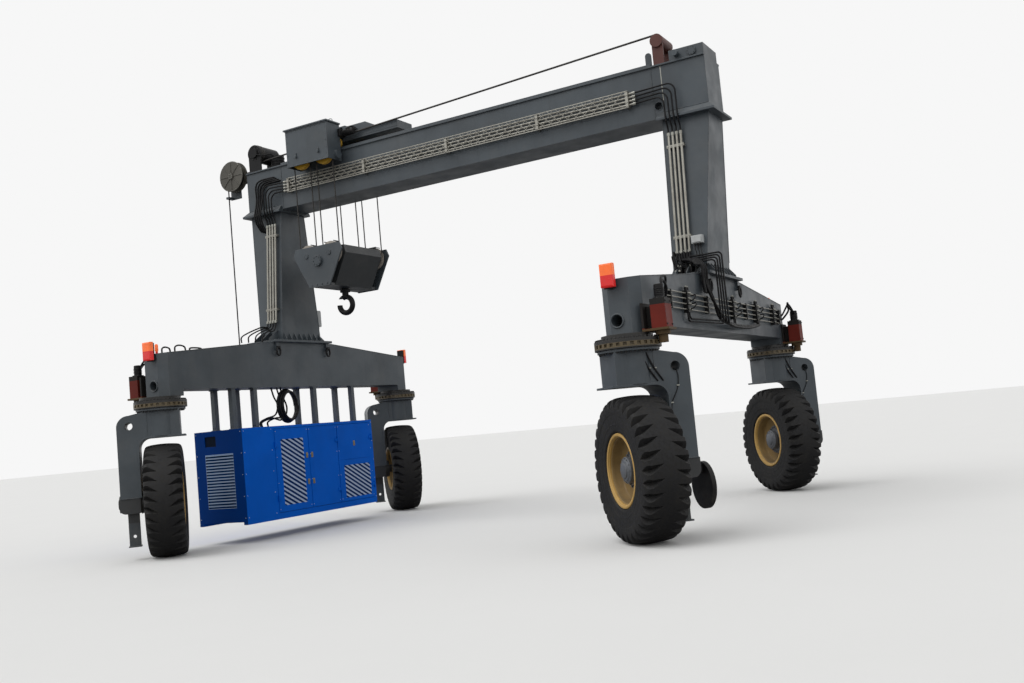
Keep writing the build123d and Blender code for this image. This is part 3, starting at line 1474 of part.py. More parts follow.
# Power pack: hollow casing on a skid, hung under the left beam, doors on its inner side
def hinge_lugs(edge, side):
    """Pins of one door's hinges, each with a lug above and below its knuckle."""
    pieces = []
    reach = HINGE_KNUCKLE_HALF + HINGE_LUG_HEIGHT
    gap = HINGE_KNUCKLE_HALF + SEAT_GAP
    cover = HINGE_X + HINGE_PIN_RADIUS + HINGE_PIN_COVER
    for z in HINGE_HEIGHTS:
        for z0, z1 in ((z - reach, z - gap), (z + gap, z + reach)):
            pieces.append(block(PACK_FACE - HINGE_LUG_ROOT, cover, edge - DOOR_GAP, edge + DOOR_GAP, z0, z1))
        pieces.append(rod_z(z - reach, z + reach, HINGE_X, edge - side * HINGE_INSET, HINGE_PIN_RADIUS))
    return pieces


def pack_casing():
    centre = -HALF_SPAN
    half = PACK_HALF_WIDTH
    wall = PACK_WALL
    outer = block(centre - half, centre + half, PACK_FRONT, PACK_BACK, PACK_BOTTOM, PACK_TOP)
    cuts = [
        block(
            centre - half + wall,
            centre + half - wall,
            PACK_FRONT + wall,
            PACK_BACK - wall,
            PACK_BOTTOM + wall,
            PACK_TOP - wall,
        ),
        block(
            centre - RECESS_LEFT,
            centre - RECESS_RIGHT,
            PACK_FRONT - CUT_REACH,
            PACK_FRONT + RECESS_DEPTH,
            RECESS_BOTTOM,
            RECESS_TOP,
        ),
    ]
    for _, front, rear, _ in DOORS:
        cuts.append(
            block(
                PACK_FACE - wall - CUT_REACH,
                PACK_FACE + CUT_REACH,
                front + DOOR_GAP,
                rear - DOOR_GAP,
                DOOR_BOTTOM,
                DOOR_TOP,
            )
        )
    pitch = (GRILLE_TOP - GRILLE_BOTTOM) / GRILLE_SLOTS
    for i in range(GRILLE_SLOTS):
        low = GRILLE_BOTTOM + i * pitch
        cuts.append(
            block(
                centre - GRILLE_HALF,
                centre + GRILLE_HALF,
                PACK_FRONT - CUT_REACH,
                PACK_FRONT + wall + CUT_REACH,
                low,
                low + pitch * GRILLE_OPEN_SHARE,
            )
        )
    pieces = [outer.cut(*cuts)]
    for x0 in (centre - half, centre + half - SKID_RAIL_WIDTH):
        pieces.append(block(x0, x0 + SKID_RAIL_WIDTH, PACK_FRONT, PACK_BACK, SKID_BOTTOM, PACK_BOTTOM))
    for _, front, rear, side in DOORS:
        pieces += hinge_lugs(rear if side > 0 else front, side)
    return fuse(pieces)


def louvre(front, rear, low, high, face):
    """Blades that slope down towards the rear, inside a sunk panel of a door."""
    panel = block(face - LOUVRE_DEPTH - ROOT, face, front, rear, low, high)
    fall = (rear - front) * math.tan(math.radians(LOUVRE_SLOPE))
    lowest = -int(fall / LOUVRE_PITCH)
    highest = int((high - low + LOUVRE_BLADE) / LOUVRE_PITCH)
    blades = []
    for i in range(lowest, highest + 1):
        top = low + i * LOUVRE_PITCH
        outline = [
            (front, top + fall - LOUVRE_BLADE),
            (rear, top - LOUVRE_BLADE),
            (rear, top),
            (front, top + fall),
        ]
        blades += (front_profile(outline, face - LOUVRE_DEPTH - ROOT, face) & panel).solids()
    return blades


def pack_door(name, front, rear, side):
    """Door leaf set in its opening, with two hinge knuckles at its front or rear edge."""
    y0 = front + 2 * DOOR_GAP
    y1 = rear - 2 * DOOR_GAP
    outer = PACK_FACE + DOOR_PROUD
    leaf = block(outer - DOOR_THICKNESS, outer, y0, y1, DOOR_BOTTOM + DOOR_GAP, DOOR_TOP - DOOR_GAP)
    axis_y = (rear if side > 0 else front) - side * HINGE_INSET
    pieces = [leaf]
    if name in LOUVRES:
        panel_front, panel_rear, low, high = LOUVRES[name]
        sunk = block(outer - LOUVRE_DEPTH, outer + CUT_REACH, panel_front, panel_rear, low, high)
        pieces = [leaf - sunk] + louvre(panel_front, panel_rear, low, high, outer)
    bores = []
    for z in HINGE_HEIGHTS:
        low = z - HINGE_KNUCKLE_HALF
        high = z + HINGE_KNUCKLE_HALF
        tab_end = axis_y - side * HINGE_TAB
        pieces.append(rod_z(low, high, HINGE_X, axis_y, HINGE_KNUCKLE_RADIUS))
        pieces.append(
            block(outer - HINGE_TAB_ROOT, HINGE_X, tab_end, axis_y - side * HINGE_TAB_ROOT, low, high)
        )
        bore_radius = HINGE_PIN_RADIUS + RUNNING_FIT
        bores.append(rod_z(low - CUT_REACH, high + CUT_REACH, HINGE_X, axis_y, bore_radius))
    if name == "rear":
        seam = DOOR_SEAM_HEIGHT
        seam_top = seam + DOOR_SEAM_WIDTH
        bores.append(block(outer - DOOR_SEAM_DEPTH, outer + CUT_REACH, y0, tab_end - CUT_REACH, seam, seam_top))
    return fuse(pieces).cut(*bores)


def engine_block():
    floor = PACK_BOTTOM + PACK_WALL
    return block(
        -HALF_SPAN - ENGINE_LEFT,
        -HALF_SPAN + ENGINE_RIGHT,
        ENGINE_FRONT,
        ENGINE_BACK,
        floor,
        floor + ENGINE_HEIGHT,
    )


def pack_hangers():
    solids = []
    half = HANGER_WIDTH / 2
    offset = BEAM_WIDTH / 2 - half - HANGER_INSET
    for y in HANGER_PLACES:
        for x in (-HALF_SPAN - offset, -HALF_SPAN + offset):
            solids.append(block(x - half, x + half, y - half, y + half, PACK_TOP, BEAM_BOTTOM))
    return Compound(solids)


PARTS["pack_casing"] = pack_casing()
for name, front, rear, side in DOORS:
    PARTS["pack_door_" + name] = pack_door(name, front, rear, side)
PARTS["engine_block"] = engine_block()
PARTS["pack_hangers"] = pack_hangers()


# Pipes with their clamps: along the girder's front, up both legs, along the right beam
def girder_pipes():
    x0 = PIPE_BRACKETS[0] - PIPE_END_REACH
    x1 = PIPE_BRACKETS[-1] + PIPE_END_REACH
    top = PIPE_HEIGHT + (PIPE_COUNT - 1) * PIPE_PITCH
    half = BRACKET_WIDTH / 2
    pieces = [rod_x(x0, x1, PIPE_Y, PIPE_HEIGHT + i * PIPE_PITCH, PIPE_RADIUS) for i in range(PIPE_COUNT)]
    for x in PIPE_BRACKETS:
        pieces.append(
            block(
                x - half,
                x + half,
                PIPE_Y - BRACKET_COVER,
                -GIRDER_HALF_WIDTH,
                PIPE_HEIGHT - BRACKET_MARGIN,
                top + BRACKET_MARGIN,
            )
        )
    return fuse(pieces)


def pipe_guard():
    """Diamond lattice in front of the pipes, in a frame with an upright at each bracket."""
    back = PIPE_Y - BRACKET_COVER
    mid = back - GUARD_LAYER
    front = mid - GUARD_LAYER
    half = BRACKET_WIDTH / 2
    x0 = PIPE_BRACKETS[0] - half
    x1 = PIPE_BRACKETS[-1] + half
    z0 = PIPE_HEIGHT - BRACKET_MARGIN
    z1 = PIPE_HEIGHT + (PIPE_COUNT - 1) * PIPE_PITCH + BRACKET_MARGIN
    rise = z1 - z0
    pieces = [
        block(x0, x1, front, back, z0, z0 + GUARD_BAR),
        block(x0, x1, front, back, z1 - GUARD_BAR, z1),
    ]
    for x in PIPE_BRACKETS:
        pieces.append(block(x - half, x + half, front, back, z0, z1))
    count = int((x1 - x0 - rise) / LATTICE_PITCH)
    for i in range(count + 1):
        x = x0 + i * LATTICE_PITCH
        rising = [(x, z0), (x + LATTICE_BAR, z0), (x + rise + LATTICE_BAR, z1), (x + rise, z1)]
        falling = [(x, z1), (x + LATTICE_BAR, z1), (x + rise + LATTICE_BAR, z0), (x + rise, z0)]
        pieces.append(side_profile(rising, mid, back))
        pieces.append(side_profile(falling, front, mid))
    return fuse(pieces)


def leg_face_y(z):
    """Reach of a leg's front face at a height."""
    share = (z - LEG_BASE) / (GIRDER_BOTTOM - LEG_BASE)
    return LEG_HALF_BASE + (LEG_HALF_TOP - LEG_HALF_BASE) * share


def leg_pipe_x(side, place):
    """Place across the span of one of the pipes on a leg."""
    return side * (HALF_SPAN - LEG_PIPE_INNER + place * LEG_PIPE_PITCH)


def leg_pipe_line(x):
    """Foot, head and unit direction of the pipe at a place across the span."""
    foot = Vector(x, -leg_face_y(LEG_PIPE_BOTTOM) - LEG_PIPE_STAND_OFF, LEG_PIPE_BOTTOM)
    top = Vector(x, -leg_face_y(LEG_PIPE_TOP) - LEG_PIPE_STAND_OFF, LEG_PIPE_TOP)
    return foot, top, (top - foot).normalized()


def leg_pipes():
    """Pipes up each leg's front face, standing off on two clamps."""
    solids = []
    for name, side in SIDES:
        xs = [leg_pipe_x(side, i) for i in range(PIPE_COUNT)]
        pieces = []
        for x in xs:
            foot, top, along = leg_pipe_line(x)
            section = Plane(origin=foot, z_dir=along) * Circle(LEG_PIPE_RADIUS)
            pieces.append(sweep(section, path=Line(foot, top)))
        for z in (LEG_PIPE_BOTTOM + LEG_CLAMP_LOW, LEG_PIPE_TOP - LEG_CLAMP_HIGH):
            face = -leg_face_y(z)
            pieces.append(
                block(
                    min(xs) - LEG_CLAMP_MARGIN,
                    max(xs) + LEG_CLAMP_MARGIN,
                    face - LEG_PIPE_STAND_OFF - LEG_CLAMP_COVER,
                    face + ROOT,
                    z - LEG_CLAMP_HALF_HEIGHT,
                    z + LEG_CLAMP_HALF_HEIGHT,
                )
            )
        solids.append(fuse(pieces) - PARTS["leg_" + name])
    return Compound(solids)


def beam_pipe_heights():
    """Heights of the thin pipes along the right beam."""
    return [BEAM_PIPE_BOTTOM + i * BEAM_PIPE_PITCH for i in range(PIPE_COUNT)]


def beam_pipes():
    """Thin pipes along the right beam's outer side."""
    rods = [
        rod_y(BEAM_PIPE_FRONT, BEAM_PIPE_BACK, BEAM_PIPE_X, z, BEAM_PIPE_RADIUS)
        for z in beam_pipe_heights()
    ]
    return Compound(rods)


def valve_blocks():
    """Blocks with spool caps that the thin pipes run through."""
    heights = beam_pipe_heights()
    solids = []
    top = heights[-1] + VALVE_BLOCK_MARGIN
    for y in VALVE_PLACES:
        y0 = y - VALVE_BLOCK_HALF
        y1 = y + VALVE_BLOCK_HALF
        body = block(
            HALF_SPAN + BEAM_WIDTH / 2,
            BEAM_PIPE_X + VALVE_BLOCK_COVER,
            y0,
            y1,
            heights[0] - VALVE_BLOCK_MARGIN,
            top,
        )
        caps = [
            rod_z(top - ROOT, top + SPOOL_HEIGHT, BEAM_PIPE_X, y + place, SPOOL_RADIUS)
            for place in (-VALVE_BLOCK_HALF / 2, VALVE_BLOCK_HALF / 2)
        ]
        holes = [
            rod_y(y0 - CUT_REACH, y1 + CUT_REACH, BEAM_PIPE_X, z, BEAM_PIPE_RADIUS + SEAT_GAP)
            for z in heights
        ]
        solids.append(fuse([body] + caps).cut(*holes))
    return Compound(solids)


# Hoses: from the girder's pipes round each knee to the leg's pipes, and down from the right leg
def knee_hose(side, place):
    """Hose from one girder pipe, over the collar, to the matching pipe of a leg."""
    pipe_end = PIPE_BRACKETS[-1] if side > 0 else PIPE_BRACKETS[0]
    x0 = pipe_end + side * (PIPE_END_REACH + SEAT_GAP)
    x1 = leg_pipe_x(side, place)
    z0 = PIPE_HEIGHT + place * PIPE_PITCH
    out_y = -COLLAR_HALF - KNEE_CLEARANCE
    low = GIRDER_BOTTOM - HEAD_DROP - COLLAR_LIP - KNEE_LOW
    _, top, along = leg_pipe_line(x1)
    points = [
        (x0, PIPE_Y, z0),
        (x0 + side * HOSE_END_RUN, PIPE_Y, z0),
        (x1, out_y, z0),
        (x1, out_y, low),
        tuple(top + along * KNEE_END),
        tuple(top + along * SEAT_GAP),
    ]
    return hose(points, KNEE_BEND)


def drop_hose(place):
    """Hose from one pipe of the right leg, past the base plate, up into the foot of a valve block."""
    lowest, valve, offset = DROP_HOSES[place]
    x1 = BEAM_PIPE_X + DROP_OUT + place * DROP_PITCH
    lane = DROP_LANE + place * DROP_LANE_PITCH
    foot, _, along = leg_pipe_line(leg_pipe_x(1, place))
    end_y = VALVE_PLACES[valve] + offset
    end_z = BEAM_PIPE_BOTTOM - VALVE_BLOCK_MARGIN - SEAT_GAP
    points = [
        tuple(foot - along * SEAT_GAP),
        tuple(foot - along * HOSE_END_RUN),
        (foot.X, -DROP_FRONT, lane),
        (x1, -DROP_FRONT, lane),
        (x1, -DROP_FRONT, lowest),
        (BEAM_PIPE_X, end_y, lowest),
        (BEAM_PIPE_X, end_y, end_z),
    ]
    return hose(points, DROP_BEND)


PARTS["girder_pipes"] = girder_pipes()
PARTS["pipe_guard"] = pipe_guard()
PARTS["leg_pipes"] = leg_pipes()
PARTS["beam_pipes"] = beam_pipes()
PARTS["valve_blocks"] = valve_blocks()
for side_name, side in SIDES:
    PARTS["knee_hoses_" + side_name] = Compound([knee_hose(side, i) for i in range(PIPE_COUNT)])
PARTS["drop_hoses"] = Compound([drop_hose(i) for i in range(len(DROP_HOSES))])


# Steering drives beside the beam ends, each with its pinion reaching down to the slew ring
def steering_drive(side_x, side_y):
    """Gearbox on its bracket plate, motor on top, pinion and cover below."""
    x = side_x * (HALF_SPAN + DRIVE_OFFSET)
    y = side_y * HALF_BASE
    beam_face = side_x * (HALF_SPAN + BEAM_WIDTH / 2)
    half_x = DRIVE_WIDTH / 2
    half_y = DRIVE_LENGTH / 2
    far = x + side_x * (half_x + DRIVE_PLATE_MARGIN)
    plate_y = half_y + DRIVE_PLATE_MARGIN
    base = DRIVE_BOTTOM - DRIVE_PLATE
    back = beam_face + side_x * DRIVE_PLATE
    return fuse(
        [
            block(x - half_x, x + half_x, y - half_y, y + half_y, DRIVE_BOTTOM, DRIVE_TOP),
            block(beam_face, far, y - plate_y, y + plate_y, base, DRIVE_BOTTOM),
            block(beam_face, back, y - plate_y, y + plate_y, DRIVE_BOTTOM, DRIVE_TOP - DRIVE_BACK_DROP),
            block(
                beam_face,
                x - side_x * half_x,
                y - DRIVE_PLATE / 2,
                y + DRIVE_PLATE / 2,
                DRIVE_BOTTOM,
                DRIVE_TOP - DRIVE_WEB_DROP,
            ),
            rod_z(DRIVE_TOP, DRIVE_TOP + DRIVE_MOTOR_HEIGHT, x, y, DRIVE_MOTOR_RADIUS),
            rod_z(base - PINION_COVER_HEIGHT, base, x, y, PINION_COVER_RADIUS),
            rod_z(base - PINION_DROP, base, x, y, PINION_RADIUS),
        ]
    )


def marker_lamp(side_x, side_y):
    """Lens on a back plate, and the stalk that carries both on the beam's end."""
    x = side_x * (HALF_SPAN - LAMP_OFFSET)
    half = LAMP_WIDTH / 2
    beam_end = side_y * BEAM_HALF_LENGTH
    back = beam_end + side_y * LAMP_STALK
    seat = back + side_y * LAMP_BACK_DEPTH
    lens_back = seat + side_y * SEAT_GAP
    margin = LAMP_BACK_MARGIN
    top = LAMP_BOTTOM + LAMP_HEIGHT
    lens = block(x - half, x + half, lens_back, lens_back + side_y * LAMP_DEPTH, LAMP_BOTTOM, top)
    outer = lens.faces().sort_by(Axis.Y)[-1 if side_y > 0 else 0]
    lens = fillet(outer.edges(), LAMP_CORNER)
    stalk = block(
        x - LAMP_STALK_HALF,
        x + LAMP_STALK_HALF,
        beam_end,
        back,
        LAMP_BOTTOM - margin,
        min(LAMP_BOTTOM - margin + LAMP_STALK_HEIGHT, BEAM_END_TOP),
    )
    plate = block(x - half + margin, x + half - margin, back, seat, LAMP_BOTTOM - margin, top - margin)
    return lens, fuse([stalk, plate])


def leg_box(side, sizes, leg_end):
    """Box on the front or rear face of a leg, trimmed to the leg's slope."""
    x0 = side * HALF_SPAN + sizes["near"]
    x1 = side * HALF_SPAN + sizes["far"]
    face = leg_face_y(sizes["high"])
    outline = block(x0, x1, leg_end * face, leg_end * (face + sizes["reach"]), sizes["low"], sizes["high"])
    return outline - PARTS["leg_left" if side < 0 else "leg_right"]


lamps = [marker_lamp(sx, sy) for _, sx, sy in CORNERS]
PARTS["steering_drives"] = Compound([steering_drive(sx, sy) for _, sx, sy in CORNERS])
PARTS["marker_lamps"] = Compound([lens for lens, _ in lamps])
PARTS["lamp_brackets"] = Compound([bracket for _, bracket in lamps])
PARTS["junction_boxes"] = Compound([leg_box(-1, LEFT_BOX, 1), leg_box(1, RIGHT_BOX, -1)])

# The frame: the pieces move together, so that the origin lies below the middle of their common box
reach = Compound(list(PARTS.values())).bounding_box()
to_frame = Pos(-reach.center().X, -reach.center().Y, -reach.min.Z)
for name, shape in PARTS.items():
    export_step(to_frame * shape, "parts/" + name + ".step")
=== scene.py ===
"""Looks of a rubber tyred gantry crane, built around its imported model. Metres, Z up."""

import json
import logging
import math
from collections.abc import Iterator, Sequence
from dataclasses import dataclass
from enum import Enum

import bmesh
import bpy
import numpy as np
from mathutils import Matrix, Vector


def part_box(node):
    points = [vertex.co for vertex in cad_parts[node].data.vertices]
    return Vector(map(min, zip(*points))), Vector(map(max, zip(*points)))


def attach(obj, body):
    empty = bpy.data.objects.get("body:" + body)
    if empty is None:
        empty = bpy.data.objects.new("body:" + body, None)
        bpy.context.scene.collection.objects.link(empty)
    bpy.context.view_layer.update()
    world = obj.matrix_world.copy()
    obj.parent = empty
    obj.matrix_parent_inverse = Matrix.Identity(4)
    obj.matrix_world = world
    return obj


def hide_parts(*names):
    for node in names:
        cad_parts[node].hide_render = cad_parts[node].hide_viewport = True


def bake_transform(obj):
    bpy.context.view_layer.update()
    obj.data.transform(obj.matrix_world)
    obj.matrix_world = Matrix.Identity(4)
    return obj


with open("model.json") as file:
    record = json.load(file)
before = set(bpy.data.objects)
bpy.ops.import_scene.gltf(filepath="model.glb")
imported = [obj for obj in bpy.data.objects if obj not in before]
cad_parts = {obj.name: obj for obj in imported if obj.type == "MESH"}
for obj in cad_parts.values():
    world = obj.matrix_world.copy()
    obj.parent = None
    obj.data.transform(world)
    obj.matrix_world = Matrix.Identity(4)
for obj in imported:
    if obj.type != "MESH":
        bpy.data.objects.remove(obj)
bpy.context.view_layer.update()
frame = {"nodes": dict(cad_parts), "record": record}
GIRDER_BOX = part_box("girder")

# Pieces are drawn from the ground below the middle of the span, and this moves them to the frame
MID_SPAN = np.array([(GIRDER_BOX[0].x + GIRDER_BOX[1].x) / 2, 0.0, 0.0])

LOG = logging.getLogger("gantry_crane")

Point = tuple[float, float, float]
Colour = tuple[float, float, float]

# Layout, the same as the frame's
HALF_SPAN = 4.22
HALF_BASE = 3.325
CRAB_ANGLE = math.radians(45.0)
BEAM_PIPE_X = 4.535
WHEEL_RADIUS = 0.925
TROLLEY_X = -2.790
BLOCK_SHEAVES = 5.060
RENDER_WIDTH = 1024
CORNERS = (
    ("front_left", -1, -1),
    ("front_right", 1, -1),
    ("rear_left", -1, 1),
    ("rear_right", 1, 1),
)

# Turns of a lathe's X axle: upright, and along the travel
UPRIGHT = Matrix.Rotation(-math.pi / 2, 4, "Y")
ACROSS = Matrix.Rotation(math.pi / 2, 4, "Z")

# Directions that a tube's cross-section may be squared to, and a box's corners and faces
REFERENCES = np.array(
    [[1, 0, 0], [0, 1, 0], [0, 0, 1], [1, 1, 0], [1, -1, 0], [1, 0, 1], [1, 0, -1], [0, 1, 1], [0, 1, -1],
     [1, 1, 1], [1, -1, 1], [1, 1, -1], [-1, 1, 1]], float)
BOX_SIGNS = np.array([[x, y, z] for x in (-1, 1) for y in (-1, 1) for z in (-1, 1)], float)
BOX_QUADS = np.array([[0, 1, 3, 2], [4, 6, 7, 5], [0, 4, 5, 1], [2, 3, 7, 6], [0, 2, 6, 4], [1, 5, 7, 3]])


class Axis(Enum):
    """Axis by its index in a point."""

    X = 0
    Y = 1
    Z = 2


@dataclass
class Patch:
    """Vertices with the faces between them, before they become a mesh."""

    verts: np.ndarray
    faces: list[np.ndarray]

    def moved(self, matrix: Matrix) -> "Patch":
        """The patch under a 4 by 4 matrix."""
        m = np.array(matrix)
        return Patch(self.verts @ m[:3, :3].T + m[:3, 3], self.faces)


def join(patches: list[Patch]) -> Patch:
    """One patch from many.

    Args:
        patches: The patches to join, in order.

    Returns:
        A patch with all vertices and faces, not welded together.
    """
    offset = 0
    verts = []
    faces = []
    for patch in patches:
        verts.append(patch.verts)
        faces += [f + offset for f in patch.faces]
        offset += len(patch.verts)
    return Patch(np.concatenate(verts), faces)


def grid_faces(rows: int, cols: int, wrap_rows: bool, wrap_cols: bool) -> np.ndarray:
    """Quads of a grid whose vertex (i, j) has index i * cols + j.

    Args:
        rows: Number of grid rows.
        cols: Number of grid columns.
        wrap_rows: Whether the last row joins the first.
        wrap_cols: Whether the last column joins the first.

    Returns:
        An array of quads, four indices each.
    """
    i = np.arange(rows if wrap_rows else rows - 1)
    j = np.arange(cols if wrap_cols else cols - 1)
    i, j = np.meshgrid(i, j, indexing="ij")
    i2 = (i + 1) % rows
    j2 = (j + 1) % cols
    quads = np.stack([i * cols + j, i * cols + j2, i2 * cols + j2, i2 * cols + j], axis=-1)
    return quads.reshape(-1, 4)


def tube(points: np.ndarray, radius: float, sides: int = 8, ripple: float = 0.0, closed: bool = False) -> Patch:
    """Round tube along a path, with flat caps where it is open.

    Each ring is centre + radius * (cos t * n + sin t * b), where n and b are square to the path.

    Args:
        points: Path points, one row each.
        radius: Radius of the tube.
        sides: Number of sides of a ring.
        ripple: Share by which every other ring shrinks, as on a weld bead.
        closed: Whether the path's last point joins its first.

    Returns:
        The closed surface.
    """
    points = np.asarray(points, float)
    tangent = np.roll(points, -1, 0) - np.roll(points, 1, 0) if closed else np.gradient(points, axis=0)
    tangent /= np.linalg.norm(tangent, axis=1, keepdims=True)
    references = REFERENCES / np.linalg.norm(REFERENCES, axis=1, keepdims=True)
    clearance = np.linalg.norm(np.cross(tangent[None], references[:, None]), axis=2).min(axis=1)
    normal = np.cross(tangent, references[clearance.argmax()])
    normal /= np.linalg.norm(normal, axis=1, keepdims=True)
    across = np.cross(tangent, normal)
    turn = np.linspace(0.0, 2 * math.pi, sides, endpoint=False)
    ring = np.cos(turn)[None, :, None] * normal[:, None, :] + np.sin(turn)[None, :, None] * across[:, None, :]
    sizes = radius * (1.0 - ripple * (np.arange(len(points)) % 2))
    verts = (points[:, None, :] + sizes[:, None, None] * ring).reshape(-1, 3)
    faces = [grid_faces(len(points), sides, closed, True)]
    if not closed:
        first = np.arange(sides)[None, ::-1]
        faces += [first, first[:, ::-1] + (len(points) - 1) * sides]
    return Patch(verts, faces)


def straight(start: Point, end: Point, step: float = 0.014) -> np.ndarray:
    """Evenly spaced points from one place to another."""
    a, b = np.asarray(start, float), np.asarray(end, float)
    count = max(2, int(np.linalg.norm(b - a) / step) + 1)
    return a + (b - a) * np.linspace(0.0, 1.0, count)[:, None]


def loop_path(centre: Point, axis: Axis, width: float, count: int = 24, height: float | None = None) -> np.ndarray:
    """Evenly turned points of a circle or an oval.

    Args:
        centre: Middle of the loop.
        axis: Axis that the loop lies square to.
        width: Half size along the first of the other two axes.
        count: Number of points.
        height: Half size along the second, or None for a circle.

    Returns:
        Path points, one row each, without a repeat of the first.
    """
    turn = np.linspace(0.0, 2 * math.pi, count, endpoint=False)
    flat = np.zeros((count, 3))
    first, second = (k for k in range(3) if k != axis.value)
    flat[:, first] = width * np.cos(turn)
    flat[:, second] = (width if height is None else height) * np.sin(turn)
    return flat + np.asarray(centre, float)


def hoop(centre: Point, axis: Axis, radius: float, thickness: float, count: int, sides: int = 8,
         ripple: float = 0.0) -> Patch:
    """Closed ring of round bar, or of weld bead where it has a ripple.

    Args:
        centre: Middle of the ring.
        axis: Axis of the ring.
        radius: Radius of the ring.
        thickness: Radius of its bar.
        count: Number of steps round the ring.
        sides: Number of sides of the bar.
        ripple: Share by which every other step is thinner.

    Returns:
        The ring.
    """
    return tube(loop_path(centre, axis, radius, count), thickness, sides, ripple, True)


def bead(start: Point, end: Point, radius: float) -> Patch:
    """Weld bead between two places."""
    return tube(straight(start, end), radius, 6, 0.22)


def smooth_path(controls: Sequence[Point], steps: int) -> np.ndarray:
    """Curve through its control points.

    Each span is the Catmull-Rom cubic of its four nearest control points.

    Args:
        controls: Points that the curve goes through.
        steps: Number of points that each span gets.

    Returns:
        Path points, one row each.
    """
    c = np.asarray(controls, float)
    padded = np.concatenate([[2 * c[0] - c[1]], c, [2 * c[-1] - c[-2]]])
    t = np.linspace(0.0, 1.0, steps, endpoint=False)[None, :, None]
    a, b, d, e = (padded[k : len(padded) - 3 + k][:, None, :] for k in range(4))
    curve = 0.5 * (2 * b + (d - a) * t + (2 * a - 5 * b + 4 * d - e) * t**2 + (3 * b - a - 3 * d + e) * t**3)
    return np.concatenate([curve.reshape(-1, 3), c[-1:]])


def hose(controls: Sequence[Point], radius: float, steps: int = 7) -> Patch:
    """Round hose through its control points."""
    return tube(smooth_path(controls, steps), radius)


@dataclass(frozen=True)
class HoseRun:
    """Hoses side by side: control k of hose i lies at controls[k] + i * shifts[k]."""

    controls: tuple[Point, ...]
    shifts: tuple[Point, ...]
    count: int
    radius: float
    steps: int = 7

    def build(self) -> Patch:
        """All the hoses of the run."""
        first, shift = np.array(self.controls), np.array(self.shifts)
        return join([hose(first + i * shift, self.radius, self.steps) for i in range(self.count)])


def lathe(profile: Sequence[tuple[float, float]], sides: int = 48, closed: bool = True) -> Patch:
    """Turned ring about X from an outline of (place along X, radius).

    Args:
        profile: Outline points, in order.
        sides: Number of steps round the axis.
        closed: Whether the outline's last point joins its first.

    Returns:
        The turned surface.
    """
    p = np.asarray(profile, float)
    turn = np.linspace(0.0, 2 * math.pi, sides, endpoint=False)
    x = np.broadcast_to(p[None, :, 0], (sides, len(p)))
    y = np.cos(turn)[:, None] * p[None, :, 1]
    z = np.sin(turn)[:, None] * p[None, :, 1]
    verts = np.stack([x, y, z], axis=-1).reshape(-1, 3)
    return Patch(verts, [grid_faces(sides, len(p), True, closed)])


def boxes(centres: np.ndarray, halves: np.ndarray) -> Patch:
    """Plain boxes, one for each centre.

    Args:
        centres: Centres, one row each.
        halves: Half sizes, one row for all or one row each.

    Returns:
        All the boxes as one patch.
    """
    centres = np.atleast_2d(np.asarray(centres, float))
    halves = np.broadcast_to(np.asarray(halves, float), centres.shape)
    verts = centres[:, None, :] + BOX_SIGNS[None] * halves[:, None, :]
    quads = BOX_QUADS[None] + 8 * np.arange(len(centres))[:, None, None]
    return Patch(verts.reshape(-1, 3), [quads.reshape(-1, 4)])


def box(x0: float, x1: float, y0: float, y1: float, z0: float, z1: float) -> Patch:
    """Plain box between two corners."""
    low = np.array([min(x0, x1), min(y0, y1), min(z0, z1)])
    high = np.array([max(x0, x1), max(y0, y1), max(z0, z1)])
    return boxes((low + high) / 2, (high - low) / 2)


def studs(centres: np.ndarray, axis: np.ndarray, radius: float, height: float, sides: int = 6) -> Patch:
    """Prisms that stand on their centres along an axis, as bolt heads do.

    Args:
        centres: Middle of each prism's foot.
        axis: Direction in which they stand.
        radius: Radius over the corners.
        height: Height of each prism.
        sides: Number of sides.

    Returns:
        All the prisms as one patch.
    """
    axis = np.asarray(axis, float) / np.linalg.norm(axis)
    centres = np.atleast_2d(np.asarray(centres, float))
    side = np.cross(axis, [0.0, 0.0, 1.0] if abs(axis[2]) < 0.9 else [1.0, 0.0, 0.0])
    side /= np.linalg.norm(side)
    other = np.cross(axis, side)
    turn = np.linspace(0.0, 2 * math.pi, sides, endpoint=False)
    ring = radius * (np.cos(turn)[:, None] * side + np.sin(turn)[:, None] * other)
    low = centres[:, None, :] + ring[None]
    mid = low + axis * height * 0.8
    top = centres[:, None, :] + 0.85 * ring[None] + axis * height
    verts = np.concatenate([low, mid, top], axis=1)
    count = 3 * sides
    base = (count * np.arange(len(centres)))[:, None, None]
    walls = grid_faces(3, sides, False, True)
    faces = [(walls[None] + base).reshape(-1, 4)]
    faces.append((2 * sides + np.arange(sides)[None] + base[:, 0]).reshape(-1, sides))
    faces.append((np.arange(sides)[::-1][None] + base[:, 0]).reshape(-1, sides))
    return Patch(verts.reshape(-1, 3), faces)


def corner_matrix(side_x: int, side_y: int) -> Matrix:
    """Place of a fork's own frame at one corner of the machine.

    Args:
        side_x: Side across the span, -1 or 1.
        side_y: Side along the travel, -1 or 1.

    Returns:
        The matrix from the fork's frame, where +X is its outer side, to the frame that pieces are drawn in.
    """
    turn = CRAB_ANGLE if side_x > 0 else CRAB_ANGLE + math.pi
    place = Matrix.Translation((side_x * HALF_SPAN, side_y * HALF_BASE, 0.0))
    return place @ Matrix.Rotation(turn, 4, "Z")


